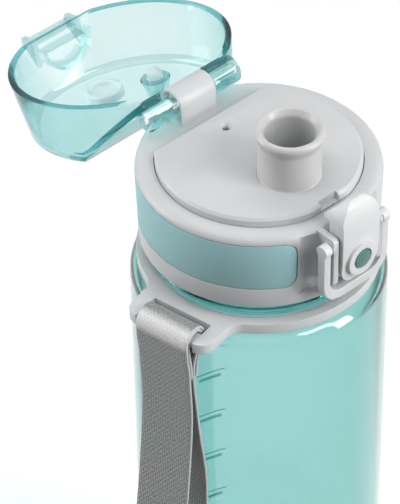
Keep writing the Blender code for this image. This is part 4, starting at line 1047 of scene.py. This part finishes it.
studio = {
    "aim": (0.0, 0.0, 0.220),  # middle of the drinking deck
    "distance": 0.863,
    "azimuth": -43.4,
    "elevation": 40.1,
    "pitch": 41.944,
    "lens": 225.07,
    "sensor": 36,
    "shift": -0.117,
    "floorSize": 2.6,
    "floorTones": ((0.93, 0.93, 0.93), (0.95, 0.95, 0.95)),
    "floorBounce": 0.13,  # how light the floor is for the light it throws back up
    "floorFade": (0.16, 0.55),  # where the paper starts to whiten and where it is white
    "sky": (0.09, 0.56),  # strength at the horizon and overhead
    "skyGloss": 0.7,  # as it shows in reflections
    # name: (place, aim, width, height, power)
    "lamps": {
        "softboxTop": ((0.1, 0.25, 1.3), (0, 0, 0.2), 1.4, 1.4, 4.6),
        "softboxLeft": ((-0.85, 0.95, 0.6), (0, 0, 0.15), 0.7, 1.2, 13.0),
        "softboxRight": ((0.60, -1.15, 0.5), (0, 0, 0.19), 0.35, 0.9, 12.0),
        "softboxFront": ((0.17, -0.86, 1.0), (0, 0, 0.19), 0.5, 0.35, 4.2),
    },
}


def paperFloor():  # pale paper that throws little light back up and whitens away from the bottle
    paper = Recipe("paleFloor")
    pale = paper.tint(paper.noise(3), *studio["floorTones"])
    ray = paper.node("LightPath").outputs
    dim = paper.tint(ray["Is Diffuse Ray"], pale, [studio["floorBounce"]] * 3)
    away = paper.node("VectorMath", {0: paper.place()}, operation="LENGTH").outputs["Value"]
    white = paper.times(paper.between(away, 0, 1, *studio["floorFade"]), ray["Is Camera Ray"])
    paper.set(Base_Color=paper.tint(white, dim, (0, 0, 0)), Roughness=0.9, Specular_IOR_Level=0.0)
    paper.set(Emission_Color=(1, 1, 1, 1), Emission_Strength=white)
    return paper.stuff


def softSky():  # white where it is looked at, straight or through the plastic, and softer as light
    sky = Recipe("studioSky", sky=True)
    bpy.context.scene.world = sky.stuff
    ray = sky.node("LightPath").outputs
    way = sky.node("SeparateXYZ", {0: sky.node("TexCoord").outputs["Generated"]})
    light = sky.between(way.outputs[2], *studio["sky"], 0.0, 1.0)
    light = sky.blend(ray["Is Glossy Ray"], light, studio["skyGloss"])
    seen = sky.maths("MAXIMUM", ray["Is Camera Ray"], ray["Is Transmission Ray"])
    sky.set(Color=(1, 1, 1, 1), Strength=sky.blend(seen, light, 1.0))


def addLamp(name, place, aim, width, height, power):
    bpy.ops.object.light_add(type="AREA", location=place)
    lamp = bpy.context.object
    lamp.name = name
    lamp.rotation_euler = (Vector(aim) - Vector(place)).to_track_quat("-Z", "Y").to_euler()
    lamp.data.shape = "RECTANGLE"
    lamp.data.size, lamp.data.size_y = width, height
    lamp.data.energy = power


def buildStudio():
    deselectAll()
    bpy.ops.mesh.primitive_plane_add(size=studio["floorSize"])
    floor = bpy.context.object
    floor.name = "floor"
    floor.data.materials.append(paperFloor())
    softSky()
    for name, values in studio["lamps"].items():
        addLamp(name, *values)


def placeCamera():
    a, e, p = (radians(studio[key]) for key in ("azimuth", "elevation", "pitch"))
    back = Vector((sin(a) * cos(e), -cos(a) * cos(e), sin(e)))
    ahead = Vector((-sin(a) * cos(p), cos(a) * cos(p), -sin(p)))
    bpy.ops.object.camera_add(location=Vector(studio["aim"]) + back * studio["distance"])
    camera = bpy.context.object
    camera.name = "photoCamera"
    camera.rotation_euler = ahead.to_track_quat("-Z", "Y").to_euler()
    camera.data.lens = studio["lens"]
    camera.data.sensor_width = studio["sensor"]
    camera.data.shift_x = studio["shift"]
    camera.data.clip_start, camera.data.clip_end = 0.01, 20
    camera.data.dof.use_dof = False
    bpy.context.scene.camera = camera


buildStudio()
placeCamera()
bpy.context.scene.view_settings.view_transform = "Standard"
print("studio and camera are in place")
